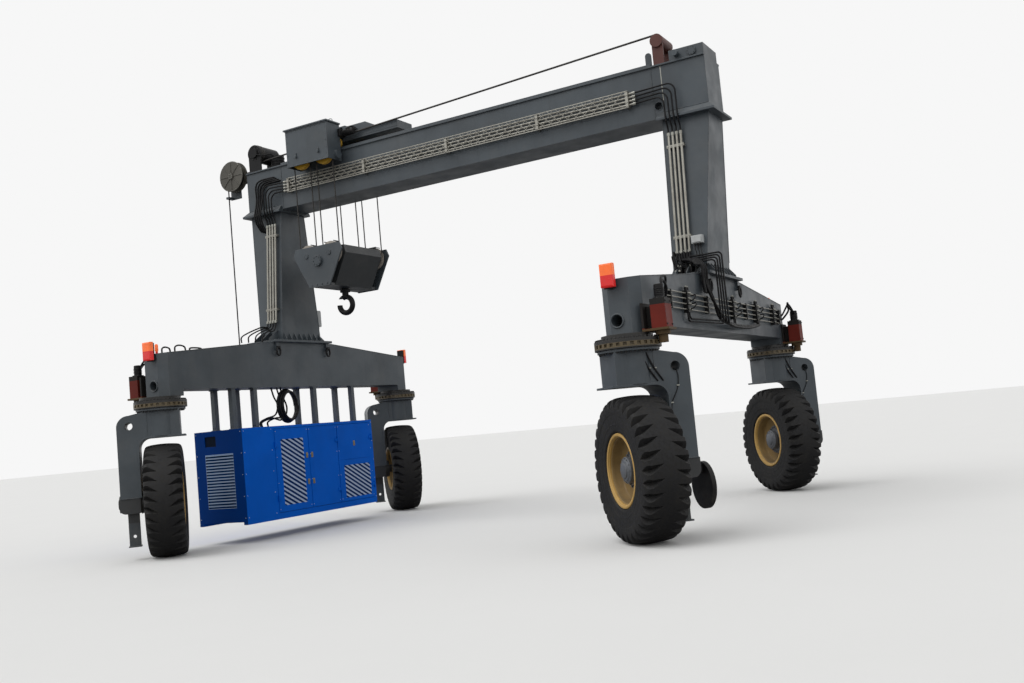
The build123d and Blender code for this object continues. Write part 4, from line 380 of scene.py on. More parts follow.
class Coat(Enum):
    """Finish of a piece, as its own name and the frame's material slot that it stands for."""

    GREY = ("grey", "paint_grey")
    FORK = ("fork", "paint_grey")
    BLOCK = ("block", "paint_grey")
    BLUE = ("blue", "paint_blue")
    OCHRE = ("ochre", "paint_ochre")
    RIM = ("rim", "paint_ochre")
    SLEW = ("slew", "paint_ochre")
    DRIVE = ("drive", "paint_red_brown")
    PRIMER = ("primer", "paint_red_brown")
    YELLOW = ("yellow", "paint_yellow")
    BRASS = ("brass", "paint_yellow")
    BLACK = ("black", "paint_black")
    DARK = ("dark", "paint_black")
    HUB = ("hub", "paint_grey")
    REEL = ("reel", "paint_grey")
    SHEAVE = ("sheave", "paint_yellow")
    TYRE = ("tyre", "tyre_rubber")
    PIPE = ("pipe", "pipe_steel")
    GALVANISED = ("galvanised", "pipe_steel")
    RIVET = ("rivet", "pipe_steel")
    ROPE = ("rope", "rope_steel")
    HOSE = ("hose", "cable_rubber")
    LENS = ("lens", "lamp_lens")
    PLASTIC = ("plastic", "box_plastic")
    IRON = ("iron", "engine_iron")

    @property
    def slot(self) -> str:
        """Material slot in the frame's record."""
        return self.value[1]


@dataclass
class Piece:
    """One object of the looks.

    Its body is None where it runs between two bodies. Its smooth value is the angle in degrees below which an
    edge is shaded over, its bevel the width of its rounded edges, stands_for the frame's nodes that it is drawn
    for, and between the upper body, the lower body and the heights of its top and foot.
    """

    name: str
    patch: Patch
    coat: Coat
    body: str | None = "gantry"
    smooth: float | None = None
    bevel: float | None = None
    stands_for: tuple[str, ...] = ()
    between: tuple[str, str, float, float] | None = None

    def build(self, finishes: "Finishes") -> None:
        """Makes the object with its mesh, finish and body."""
        mesh = bpy.data.meshes.new(self.name)
        faces = [row for block in self.patch.faces for row in block.tolist()]
        mesh.from_pydata((self.patch.verts + MID_SPAN).tolist(), [], faces)
        mesh.validate()
        mesh.update()
        mesh.materials.append(finishes.materials[self.coat])
        self.turn_outward(mesh)
        piece = bpy.data.objects.new(self.name, mesh)
        bpy.context.scene.collection.objects.link(piece)
        if self.smooth is not None:
            mesh.polygons.foreach_set("use_smooth", np.ones(len(mesh.polygons), bool))
            mesh.set_sharp_from_angle(angle=math.radians(self.smooth))
        if self.bevel is not None:
            bevel = piece.modifiers.new("Bevel", "BEVEL")
            bevel.width = self.bevel
            bevel.segments = 2
            bevel.limit_method = "ANGLE"
        if self.body is not None:
            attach(piece, self.body)
        self.coat.slot
        if self.stands_for:
            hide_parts(*self.stands_for)
        if self.between:
            upper, lower, top, foot = self.between
            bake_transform(piece)
        LOG.info("%s: %d faces on %s", self.name, len(mesh.polygons), self.body)

    @staticmethod
    def turn_outward(mesh: bpy.types.Mesh) -> None:
        """Points every closed shell's faces outwards."""
        work = bmesh.new()
        work.from_mesh(mesh)
        bmesh.ops.recalc_face_normals(work, faces=work.faces)
        work.to_mesh(mesh)
        work.free()


class Graph:
    """Node tree of a material, with short calls for its nodes."""

    def __init__(self, name: str) -> None:
        """Starts a material with only its shader and output."""
        self.material = bpy.data.materials.new(name)
        self.material.use_nodes = True
        self.tree = self.material.node_tree
        self.shader = self.tree.nodes["Principled BSDF"]
        self.coordinates = self.tree.nodes.new("ShaderNodeTexCoord").outputs["Object"]
        self.geometry = self.tree.nodes.new("ShaderNodeNewGeometry")

    def put(self, socket: bpy.types.NodeSocket, value: object) -> None:
        """Links an output, or sets a plain value."""
        if isinstance(value, bpy.types.NodeSocket):
            self.tree.links.new(value, socket)
        else:
            socket.default_value = value

    def node(self, kind: str, output: str | int, inputs: dict[str | int, object],
             **settings: object) -> bpy.types.NodeSocket:
        """Adds a node.

        Args:
            kind: Node type, without its prefix.
            output: Which of its outputs is wanted.
            inputs: Link or plain value for each input that is set.
            settings: Properties of the node.

        Returns:
            The output.
        """
        node = self.tree.nodes.new("ShaderNode" + kind)
        for key, value in settings.items():
            setattr(node, key, value)
        for key, value in inputs.items():
            self.put(node.inputs[key], value)
        return node.outputs[output]

    def finish(self, colour: bpy.types.NodeSocket, roughness: bpy.types.NodeSocket, normal: bpy.types.NodeSocket,
               **others: float) -> bpy.types.Material:
        """Feeds the shader.

        Args:
            colour: Its base colour.
            roughness: Its roughness.
            normal: Its normal.
            others: Plain values for other inputs, whose names here have _ for a space.

        Returns:
            The finished material.
        """
        inputs = {"Base Color": colour, "Roughness": roughness, "Normal": normal}
        inputs.update({key.replace("_", " "): value for key, value in others.items()})
        for key, value in inputs.items():
            self.put(self.shader.inputs[key], value)
        return self.material

    def stretched(self, scale: Point) -> bpy.types.NodeSocket:
        """Object coordinates with a scale along each axis."""
        return self.node("Mapping", "Vector", {"Vector": self.coordinates, "Scale": scale})

    def noise(self, scale: float, detail: float = 4.0, roughness: float = 0.55,
              vector: bpy.types.NodeSocket | None = None) -> bpy.types.NodeSocket:
        """Noise value.

        Args:
            scale: Number of features in a metre.
            detail: Number of octaves.
            roughness: Weight of the fine octaves.
            vector: Coordinates, or None for the object's own.

        Returns:
            The noise output, from 0 to 1.
        """
        inputs = {"Vector": vector or self.coordinates, "Scale": scale, "Detail": detail, "Roughness": roughness}
        return self.node("TexNoise", "Fac", inputs)

    def wave(self, scale: float, vector: bpy.types.NodeSocket, distortion: float = 0.0) -> bpy.types.NodeSocket:
        """Value of slanted bands."""
        inputs = {"Vector": vector, "Scale": scale, "Distortion": distortion}
        return self.node("TexWave", "Fac", inputs, bands_direction="DIAGONAL")

    def span(self, value: bpy.types.NodeSocket, low: float, high: float, to_low: float = 0.0,
             to_high: float = 1.0) -> bpy.types.NodeSocket:
        """Value mapped smoothly from one span to another, and held to it.

        Args:
            value: Output to map.
            low: Value that gives to_low.
            high: Value that gives to_high.
            to_low: Result at the low end.
            to_high: Result at the high end.

        Returns:
            The mapped output.
        """
        inputs = {"Value": value, "From Min": low, "From Max": high, "To Min": to_low, "To Max": to_high}
        return self.node("MapRange", "Result", inputs, interpolation_type="SMOOTHSTEP")

    def math(self, operation: str, first: object, second: object) -> bpy.types.NodeSocket:
        """Result of a math node."""
        return self.node("Math", 0, {0: first, 1: second}, operation=operation)

    def times(self, first: object, second: object) -> bpy.types.NodeSocket:
        """Product of two values."""
        return self.math("MULTIPLY", first, second)

    def mix(self, share: object, first: object, second: object) -> bpy.types.NodeSocket:
        """Colour mixed by a share from the first to the second."""
        colours = [c if isinstance(c, bpy.types.NodeSocket) else (*c, 1.0) for c in (first, second)]
        return self.node("Mix", 2, {0: share, 6: colours[0], 7: colours[1]}, data_type="RGBA")

    def part(self, vector: bpy.types.NodeSocket, axis: Axis) -> bpy.types.NodeSocket:
        """One component of a vector."""
        return self.node("SeparateXYZ", axis.value, {0: vector})

    def within(self, low: Point, high: Point) -> bpy.types.NodeSocket:
        """Mask that is 1 inside a box of the machine.

        Args:
            low: Lowest corner, from the middle of the span.
            high: Highest corner.

        Returns:
            The mask.
        """
        mask = 1.0
        for axis in Axis:
            place = self.part(self.coordinates, axis)
            offset = float(MID_SPAN[axis.value])
            above = self.math("GREATER_THAN", place, low[axis.value] + offset)
            below = self.math("LESS_THAN", place, high[axis.value] + offset)
            mask = self.times(mask, self.times(above, below))
        return mask

    def rounded(self, radius: float) -> bpy.types.NodeSocket:
        """Normal that rounds every edge by a radius."""
        return self.node("Bevel", "Normal", {"Radius": radius}, samples=4)

    def edges(self, radius: float) -> bpy.types.NodeSocket:
        """Mask that is 1 along edges and 0 on flats."""
        normals = {0: self.rounded(radius), 1: self.geometry.outputs["True Normal"]}
        return self.span(self.node("VectorMath", "Value", normals, operation="DOT_PRODUCT"), 0.995, 0.86)

    def bump(self, height: bpy.types.NodeSocket, distance: float, strength: float,
             normal: bpy.types.NodeSocket | None = None) -> bpy.types.NodeSocket:
        """Normal bumped by a height.

        Args:
            height: Height output.
            distance: Metres that a height of 1 stands for.
            strength: Strength of the bump.
            normal: Normal to start from.

        Returns:
            The bumped normal.
        """
        inputs = {"Strength": strength, "Distance": distance, "Height": height}
        if normal:
            inputs["Normal"] = normal
        return self.node("Bump", "Normal", inputs)


@dataclass(frozen=True)
class Zone:
    """Box of the machine that has another colour."""

    low: Point
    high: Point
    colour: Colour


@dataclass(frozen=True)
class SteelPaint:
    """Brushed and sprayed coat on welded steel, with dust, rain streaks and worn edges."""

    name: str
    colour: Colour
    roughness: float = 0.42
    patchiness: float = 0.16
    dust: float = 0.35
    dust_colour: Colour = (0.20, 0.185, 0.16)
    streaks: float = 0.25
    wear: float = 0.5
    wear_colour: Colour = (0.22, 0.21, 0.20)
    splash: float = 0.3
    edge_radius: float = 0.006
    specular: float = 0.5
    zones: tuple[Zone, ...] = ()

    def build(self) -> bpy.types.Material:
        """The finished material."""
        g = Graph(self.name)
        shade = tuple(c * (1.0 - self.patchiness) for c in self.colour)
        light = tuple(min(1.0, c * (1.0 + self.patchiness)) for c in self.colour)
        colour = g.mix(g.span(g.noise(0.9, 5.0, 0.6), 0.35, 0.65), shade, light)
        for zone in self.zones:
            colour = g.mix(g.within(zone.low, zone.high), colour, zone.colour)
        runs = g.noise(3.0, 6.0, 0.6, g.stretched((3.0, 3.0, 0.22)))
        streak = g.times(g.span(runs, 0.52, 0.74), self.streaks)
        colour = g.mix(streak, colour, tuple(c * 0.55 for c in self.colour))
        dusty = self.dust_mask(g)
        colour = g.mix(dusty, colour, self.dust_colour)
        chips = g.times(g.edges(self.edge_radius * 1.6), g.span(g.noise(24.0, 5.0, 0.7), 0.45, 0.62))
        colour = g.mix(g.times(chips, self.wear), colour, self.wear_colour)
        gloss = g.span(g.noise(2.3, 5.0, 0.6), 0.3, 0.7, self.roughness - 0.07, self.roughness + 0.1)
        peel = g.math("ADD", g.noise(60.0, 3.0, 0.5), g.times(g.noise(1.3, 2.0, 0.4), 5.0))
        normal = g.bump(peel, 0.0012, 0.5, g.rounded(self.edge_radius))
        return g.finish(colour, g.math("ADD", gloss, g.times(dusty, 0.35)), normal, Specular_IOR_Level=self.specular)

    def dust_mask(self, g: Graph) -> bpy.types.NodeSocket:
        """Dust on what faces up, faint fog elsewhere, and splashes near the ground."""
        up = g.part(g.geometry.outputs["Normal"], Axis.Z)
        lying = g.times(g.span(up, 0.35, 0.95), g.span(g.noise(5.0, 6.0, 0.65), 0.25, 0.7))
        fog = g.times(g.span(g.noise(1.7, 6.0, 0.7), 0.45, 0.8), 0.35)
        dusty = g.times(g.math("MAXIMUM", lying, fog), self.dust)
        height = g.part(g.coordinates, Axis.Z)
        low = g.times(g.span(height, 1.1, 0.15), g.span(g.noise(7.0, 6.0, 0.7), 0.3, 0.75))
        return g.math("MAXIMUM", dusty, g.times(low, self.splash))


@dataclass(frozen=True)
class TyreRubber:
    """Dusty black rubber with scuffed edges."""

    name: str = "tyre_rubber"
    colour: Colour = (0.012, 0.012, 0.013)
    dust_colour: Colour = (0.066, 0.060, 0.048)
    dust: float = 0.36

    def build(self) -> bpy.types.Material:
        """The finished material."""
        g = Graph(self.name)
        patch = g.span(g.noise(3.5, 6.0, 0.7), 0.3, 0.75)
        fine = g.span(g.noise(26.0, 5.0, 0.7), 0.35, 0.7)
        share = g.times(g.times(patch, fine), self.dust)
        scuff = g.times(g.edges(0.012), 0.5)
        share = g.math("MAXIMUM", share, g.times(scuff, patch))
        grain = g.math("ADD", g.noise(90.0, 4.0, 0.6), g.times(g.noise(14.0, 4.0, 0.6), 1.5))
        normal = g.bump(grain, 0.0022, 0.6, g.rounded(0.006))
        colour = g.mix(share, self.colour, self.dust_colour)
        return g.finish(colour, g.span(fine, 0.0, 1.0, 0.62, 0.85), normal, Specular_IOR_Level=0.3)


@dataclass(frozen=True)
class BareMetal:
    """Zinc plated or galvanised metal with dull patches."""

    name: str
    colour: Colour = (0.52, 0.53, 0.52)
    stain: Colour = (0.20, 0.18, 0.15)
    metallic: float = 0.75
    roughness: float = 0.38
    stain_share: float = 0.45

    def build(self) -> bpy.types.Material:
        """The finished material."""
        g = Graph(self.name)
        share = g.times(g.span(g.noise(4.0, 6.0, 0.65), 0.42, 0.72), self.stain_share)
        rough = g.span(g.noise(9.0), 0.3, 0.7, self.roughness, self.roughness + 0.2)
        normal = g.bump(g.noise(120.0, 3.0), 0.0006, 0.5, g.rounded(0.003))
        return g.finish(g.mix(share, self.colour, self.stain), rough, normal, Metallic=self.metallic)


@dataclass(frozen=True)
class HoseRubber:
    """Black hose cover, faintly grained and dusty."""

    name: str = "hose_rubber"
    colour: Colour = (0.009, 0.009, 0.010)

    def build(self) -> bpy.types.Material:
        """The finished material."""
        g = Graph(self.name)
        dust = g.times(g.span(g.noise(12.0, 5.0, 0.7), 0.4, 0.75), 0.22)
        colour = g.mix(dust, self.colour, (0.07, 0.066, 0.060))
        rough = g.span(g.noise(20.0), 0.3, 0.7, 0.38, 0.58)
        return g.finish(colour, rough, g.bump(g.noise(160.0, 2.0), 0.0006, 0.6), Specular_IOR_Level=0.15)


@dataclass(frozen=True)
class LampLens:
    """Ribbed lens, amber above and red below."""

    name: str = "lamp_lens"
    split_height: float = 3.375
    amber: Colour = (0.92, 0.16, 0.03)
    red: Colour = (0.62, 0.015, 0.015)

    def build(self) -> bpy.types.Material:
        """The finished material."""
        g = Graph(self.name)
        above = g.span(g.part(g.coordinates, Axis.Z), self.split_height - 0.002, self.split_height + 0.002)
        colour = g.mix(above, self.red, self.amber)
        colour = g.mix(g.span(g.noise(18.0, 4.0, 0.6), 0.5, 0.8, 0.0, 0.3), colour, (0.35, 0.06, 0.03))
        g.put(g.shader.inputs["Emission Color"], colour)
        ribs = g.wave(30.0, g.stretched((1.0, 1.0, 0.0)))
        rough = g.span(g.noise(8.0), 0.3, 0.7, 0.16, 0.3)
        return g.finish(colour, rough, g.bump(ribs, 0.003, 0.6, g.rounded(0.008)), Emission_Strength=0.35)


@dataclass(frozen=True)
class WireRope:
    """Greasy steel rope with slanted strands."""

    name: str = "rope_steel"
    colour: Colour = (0.085, 0.080, 0.074)
    groove: Colour = (0.012, 0.011, 0.010)
    strands: float = 26.0

    def build(self) -> bpy.types.Material:
        """The finished material."""
        g = Graph(self.name)
        strand = g.wave(self.strands, g.coordinates, 0.4)
        worn = g.times(strand, g.span(g.noise(6.0, 4.0, 0.6), 0.2, 0.8, 0.6, 1.0))
        rough = g.span(strand, 0.0, 1.0, 0.7, 0.42)
        return g.finish(g.mix(worn, self.groove, self.colour), rough, g.bump(strand, 0.003, 0.8), Metallic=0.5)


GREY_PAINT: Colour = (0.060, 0.074, 0.086)
SOOT: Colour = (0.016, 0.015, 0.014)
BARE_EDGE: Colour = (0.045, 0.035, 0.03)
# Lit and shaded copies of the blue: painted highlight on the louvres' outer slats, painted shade on their recessed
# slats
LIT_SLAT: Colour = (0.44, 0.53, 0.72)
SHADED_SLAT: Colour = (0.001, 0.034, 0.17)

# Beyond the machine on every side
REACH = 6.0

# Painted highlight on the outer skin of the pack's side louvres, and painted shade on the slats behind it
LOUVRE_LIGHT_AND_SHADE = tuple(
    Zone((x0, y0, z0), (x1, y1, z1), colour)
    for x0, x1, colour in ((-3.6452, -3.640, LIT_SLAT), (-3.680, -3.6455, SHADED_SLAT))
    for y0, y1, z0, z1 in ((-1.130, -0.520, 0.560, 1.750), (0.630, 1.440, 0.510, 1.140))
)
# Painted shade over the pack's end face, painted highlight on its grille's outer skin, and painted shade in the
# grille's recess and in a recess above it
PACK_END_SHADE_AND_LIGHT = (
    Zone((-REACH, -2.30, 0.30), (REACH, -2.0885, 2.10), (0.0, 0.038, 0.215)),
    Zone((-4.555, -2.095, 0.630), (-3.885, -2.0885, 1.585), (0.30, 0.42, 0.64)),
    Zone((-4.555, -2.0885, 0.630), (-3.885, -2.050, 1.585), (0.001, 0.012, 0.06)),
    Zone((-4.555, -2.080, 1.720), (-4.275, -2.060, 1.910), (0.003, 0.008, 0.02)),
)
CAST_FOOT = (Zone((-REACH, -REACH, 0.60), (REACH, REACH, 1.008), (0.030, 0.032, 0.034)),)
RING_BAND = (Zone((-REACH, -REACH, 2.452), (REACH, REACH, 2.514), (0.115, 0.085, 0.042)),)
DRIVE_ENDS = (
    Zone((4.40, -REACH, 2.66), (4.606, REACH, 3.40), SOOT),
    Zone((-4.606, -REACH, 2.66), (-4.40, REACH, 3.40), SOOT),
    Zone((-REACH, -REACH, 2.945), (REACH, REACH, 3.40), SOOT),
    Zone((-REACH, -REACH, 2.40), (REACH, REACH, 2.649), (0.10, 0.065, 0.03)),
)
BLOCK_INSIDE = (Zone((-REACH, -0.690, 3.0), (REACH, 0.690, 5.60), (0.028, 0.032, 0.035)),)

RECIPES: dict[Coat, SteelPaint | TyreRubber | BareMetal | HoseRubber | LampLens | WireRope] = {
    Coat.GREY: SteelPaint("paint_grey", GREY_PAINT),
    Coat.FORK: SteelPaint("fork_grey", GREY_PAINT, zones=CAST_FOOT),
    Coat.BLOCK: SteelPaint("block_grey", GREY_PAINT, zones=BLOCK_INSIDE),
    # The blue's zones are painted highlight and painted shade on the louvres and on the pack's end
    Coat.BLUE: SteelPaint(
        "paint_blue", (0.0, 0.118, 0.63), 0.48, 0.07, 0.05, (0.02, 0.10, 0.34), 0.08, 0.2, (0.06, 0.18, 0.42), 0.05,
        specular=0.06, zones=LOUVRE_LIGHT_AND_SHADE + PACK_END_SHADE_AND_LIGHT,
    ),
    # Darker copy of the rim's ochre for the dish and barrel: painted shade in the wheel's hollow, with real dust,
    # streaks and worn edges over it
    Coat.OCHRE: SteelPaint(
        "paint_ochre", (0.24, 0.155, 0.055), 0.5, 0.25, 0.6, (0.10, 0.075, 0.050), 0.5, 0.6, (0.10, 0.07, 0.05), 0.35,
    ),
    Coat.RIM: SteelPaint(
        "rim_ochre", (0.58, 0.36, 0.105), 0.45, 0.14, 0.25, (0.20, 0.14, 0.075), 0.35, 0.4, (0.12, 0.08, 0.05), 0.20,
    ),
    Coat.SLEW: SteelPaint(
        "slew_steel", SOOT, 0.42, 0.3, 0.25, (0.10, 0.075, 0.04), 0.3, 0.5, (0.07, 0.055, 0.04), 0.0, zones=RING_BAND,
    ),
    Coat.DRIVE: SteelPaint(
        "paint_red_brown", (0.145, 0.017, 0.010), 0.55, 0.22, 0.12, (0.12, 0.05, 0.035), 0.3, 0.4, BARE_EDGE,
        specular=0.2, zones=DRIVE_ENDS,
    ),
    Coat.PRIMER: SteelPaint(
        "primer", (0.105, 0.028, 0.020), 0.55, 0.22, 0.3, (0.12, 0.08, 0.06), 0.4, 0.6, BARE_EDGE,
    ),
    Coat.YELLOW: SteelPaint(
        "paint_yellow", (0.62, 0.36, 0.03), 0.45, 0.15, 0.3, (0.2, 0.15, 0.09), 0.3, 0.6, (0.12, 0.10, 0.08),
    ),
    Coat.BRASS: SteelPaint("handle_brass", (0.30, 0.24, 0.12), 0.4, 0.1, 0.2),
    Coat.BLACK: SteelPaint("paint_black", (0.012, 0.012, 0.013), 0.45, 0.2, 0.2, wear=0.3, specular=0.18),
    Coat.DARK: SteelPaint("dark_steel", (0.030, 0.030, 0.030), 0.5, 0.2, 0.3, wear=0.3, specular=0.25),
    Coat.HUB: SteelPaint("hub_grey", (0.115, 0.125, 0.140), 0.42, 0.12, 0.15, wear=0.3),
    Coat.REEL: SteelPaint("reel_grey", (0.090, 0.084, 0.068), 0.5, 0.2, 0.35),
    Coat.SHEAVE: SteelPaint(
        "sheave_white", (0.42, 0.38, 0.33), 0.5, 0.15, 0.5, (0.20, 0.13, 0.08), 0.5, 0.7, (0.16, 0.08, 0.045),
    ),
    Coat.TYRE: TyreRubber(),
    Coat.PIPE: BareMetal("pipe_steel", (0.36, 0.35, 0.31), roughness=0.36),
    Coat.GALVANISED: BareMetal("galvanised", (0.42, 0.42, 0.38), roughness=0.5),
    Coat.RIVET: BareMetal("rivet_zinc", (0.72, 0.74, 0.75), metallic=0.4, stain_share=0.25),
    Coat.ROPE: WireRope(),
    Coat.HOSE: HoseRubber(),
    Coat.LENS: LampLens(),
    Coat.PLASTIC: SteelPaint("box_plastic", (0.50, 0.52, 0.52), 0.45, 0.08, 0.4, wear=0.0),
    Coat.IRON: SteelPaint("engine_iron", (0.05, 0.05, 0.05), 0.6, 0.25, 0.5),
}

# Coats of the frame's nodes that differ from what their slot has, and each slot's usual coat
NODE_COATS = {
    "slew_rings": Coat.SLEW, "steering_drives": Coat.DRIVE, "cable_reel": Coat.REEL, "block_sheaves": Coat.SHEAVE,
    "ladder_tray": Coat.GALVANISED, "hook_block": Coat.BLOCK,
}
SLOT_COATS = {coat.slot: coat for coat in (
    Coat.GREY, Coat.BLUE, Coat.OCHRE, Coat.PRIMER, Coat.YELLOW, Coat.BLACK, Coat.TYRE, Coat.PIPE, Coat.ROPE,
    Coat.HOSE, Coat.LENS, Coat.PLASTIC, Coat.IRON,
)}


class Finishes:
    """All the finishes, each built once."""

    def __init__(self) -> None:
        """Builds every finish of the machine."""
        self.materials = {coat: recipe.build() for coat, recipe in RECIPES.items()}

    def dress_frame(self) -> None:
        """Gives each of the frame's nodes its finish."""
        slots = {s["node"]: s["material_slot"] for s in frame["record"]["subparts"]}
        for name, node in frame["nodes"].items():
            coat = Coat.FORK if name.startswith("fork_") else NODE_COATS.get(name, SLOT_COATS[slots[name]])
            node.data.materials.clear()
            node.data.materials.append(self.materials[coat])


@dataclass
class Studio:
    """Pale floor and world, soft lamps and the camera."""

    camera_place: Point = (9.315, -15.492, 1.616)
    azimuth: float = 29.07
    pitch: float = 4.61
    roll: float = -5.31
    focal_pixels: float = 1035.8
    sensor: float = 36.0
    floor_half: float = 220.0
    floor_colour: Colour = (0.80, 0.80, 0.79)
    floor_bounce: Colour = (0.22, 0.22, 0.22)
    sky_strength: float = 0.62
    backdrop: float = 0.93

    def build(self) -> None:
        """Sets up camera, world, lamps and floor."""
        self.build_camera()
        self.build_world()
        self.build_lamps()
        self.build_floor()
        bpy.context.scene.view_settings.view_transform = "Standard"

    def build_camera(self) -> None:
        """Camera at the photograph's place, heading, tilt and lens."""
        a, e, r = (math.radians(v) for v in (self.azimuth, self.pitch, self.roll))
        forward = Vector((-math.sin(a) * math.cos(e), math.cos(a) * math.cos(e), math.sin(e)))
        level = Vector((math.cos(a), math.sin(a), 0.0))
        up = level.cross(forward)
        right = math.cos(r) * level + math.sin(r) * up
        top = -math.sin(r) * level + math.cos(r) * up
        data = bpy.data.cameras.new("camera")
        data.sensor_width = self.sensor
        data.lens = self.sensor * self.focal_pixels / RENDER_WIDTH
        data.clip_end = 500.0
        camera = bpy.data.objects.new("camera", data)
        bpy.context.scene.collection.objects.link(camera)
        turn = Matrix((right, top, -forward)).transposed().to_4x4()
        camera.matrix_world = Matrix.Translation(Vector(self.camera_place) + Vector(MID_SPAN)) @ turn
        bpy.context.scene.camera = camera

    def build_world(self) -> None:
        """Even sky light, with a paler background for the camera and in reflections."""
        world = bpy.data.worlds.new("sky")
        bpy.context.scene.world = world
        world.use_nodes = True
        tree = world.node_tree
        background = tree.nodes["Background"]
        path = tree.nodes.new("ShaderNodeLightPath")
        seen = tree.nodes.new("ShaderNodeMath")
        seen.operation = "MAXIMUM"
        tree.links.new(path.outputs["Is Camera Ray"], seen.inputs[0])
        tree.links.new(path.outputs["Is Glossy Ray"], seen.inputs[1])
        strength = tree.nodes.new("ShaderNodeMapRange")
        tree.links.new(seen.outputs[0], strength.inputs["Value"])
        strength.inputs["To Min"].default_value = self.sky_strength
        strength.inputs["To Max"].default_value = self.backdrop
        background.inputs["Color"].default_value = (1.0, 1.0, 1.0, 1.0)
        tree.links.new(strength.outputs["Result"], background.inputs["Strength"])

    def build_lamps(self) -> None:
        """One broad soft key from the upper left front and a weaker fill."""
        for name, energy, spread, direction in (
            ("key", 1.15, 50.0, (0.45, 0.55, -1.0)),
            ("fill", 0.35, 80.0, (-0.8, 0.6, -0.45)),
        ):
            data = bpy.data.lights.new(name, "SUN")
            data.energy = energy
            data.angle = math.radians(spread)
            lamp = bpy.data.objects.new(name, data)
            bpy.context.scene.collection.objects.link(lamp)
            lamp.rotation_euler = Vector(direction).to_track_quat("-Z", "Y").to_euler()

    def build_floor(self) -> None:
        """Plain pale floor at ground level."""
        half = self.floor_half
        corners = [(-half, -half, 0.0), (half, -half, 0.0), (half, half, 0.0), (-half, half, 0.0)]
        mesh = bpy.data.meshes.new("floor")
        mesh.from_pydata(corners, [], [(0, 1, 2, 3)])
        floor = bpy.data.objects.new("floor", mesh)
        bpy.context.scene.collection.objects.link(floor)
        g = Graph("floor")
        shade = g.mix(g.noise(0.5, 6.0, 0.6), tuple(c * 0.97 for c in self.floor_colour), self.floor_colour)
        seen = g.tree.nodes.new("ShaderNodeLightPath").outputs["Is Camera Ray"]
        g.put(g.shader.inputs["Base Color"], g.mix(seen, self.floor_bounce, shade))
        g.shader.inputs["Roughness"].default_value = 0.9
        mesh.materials.append(g.material)


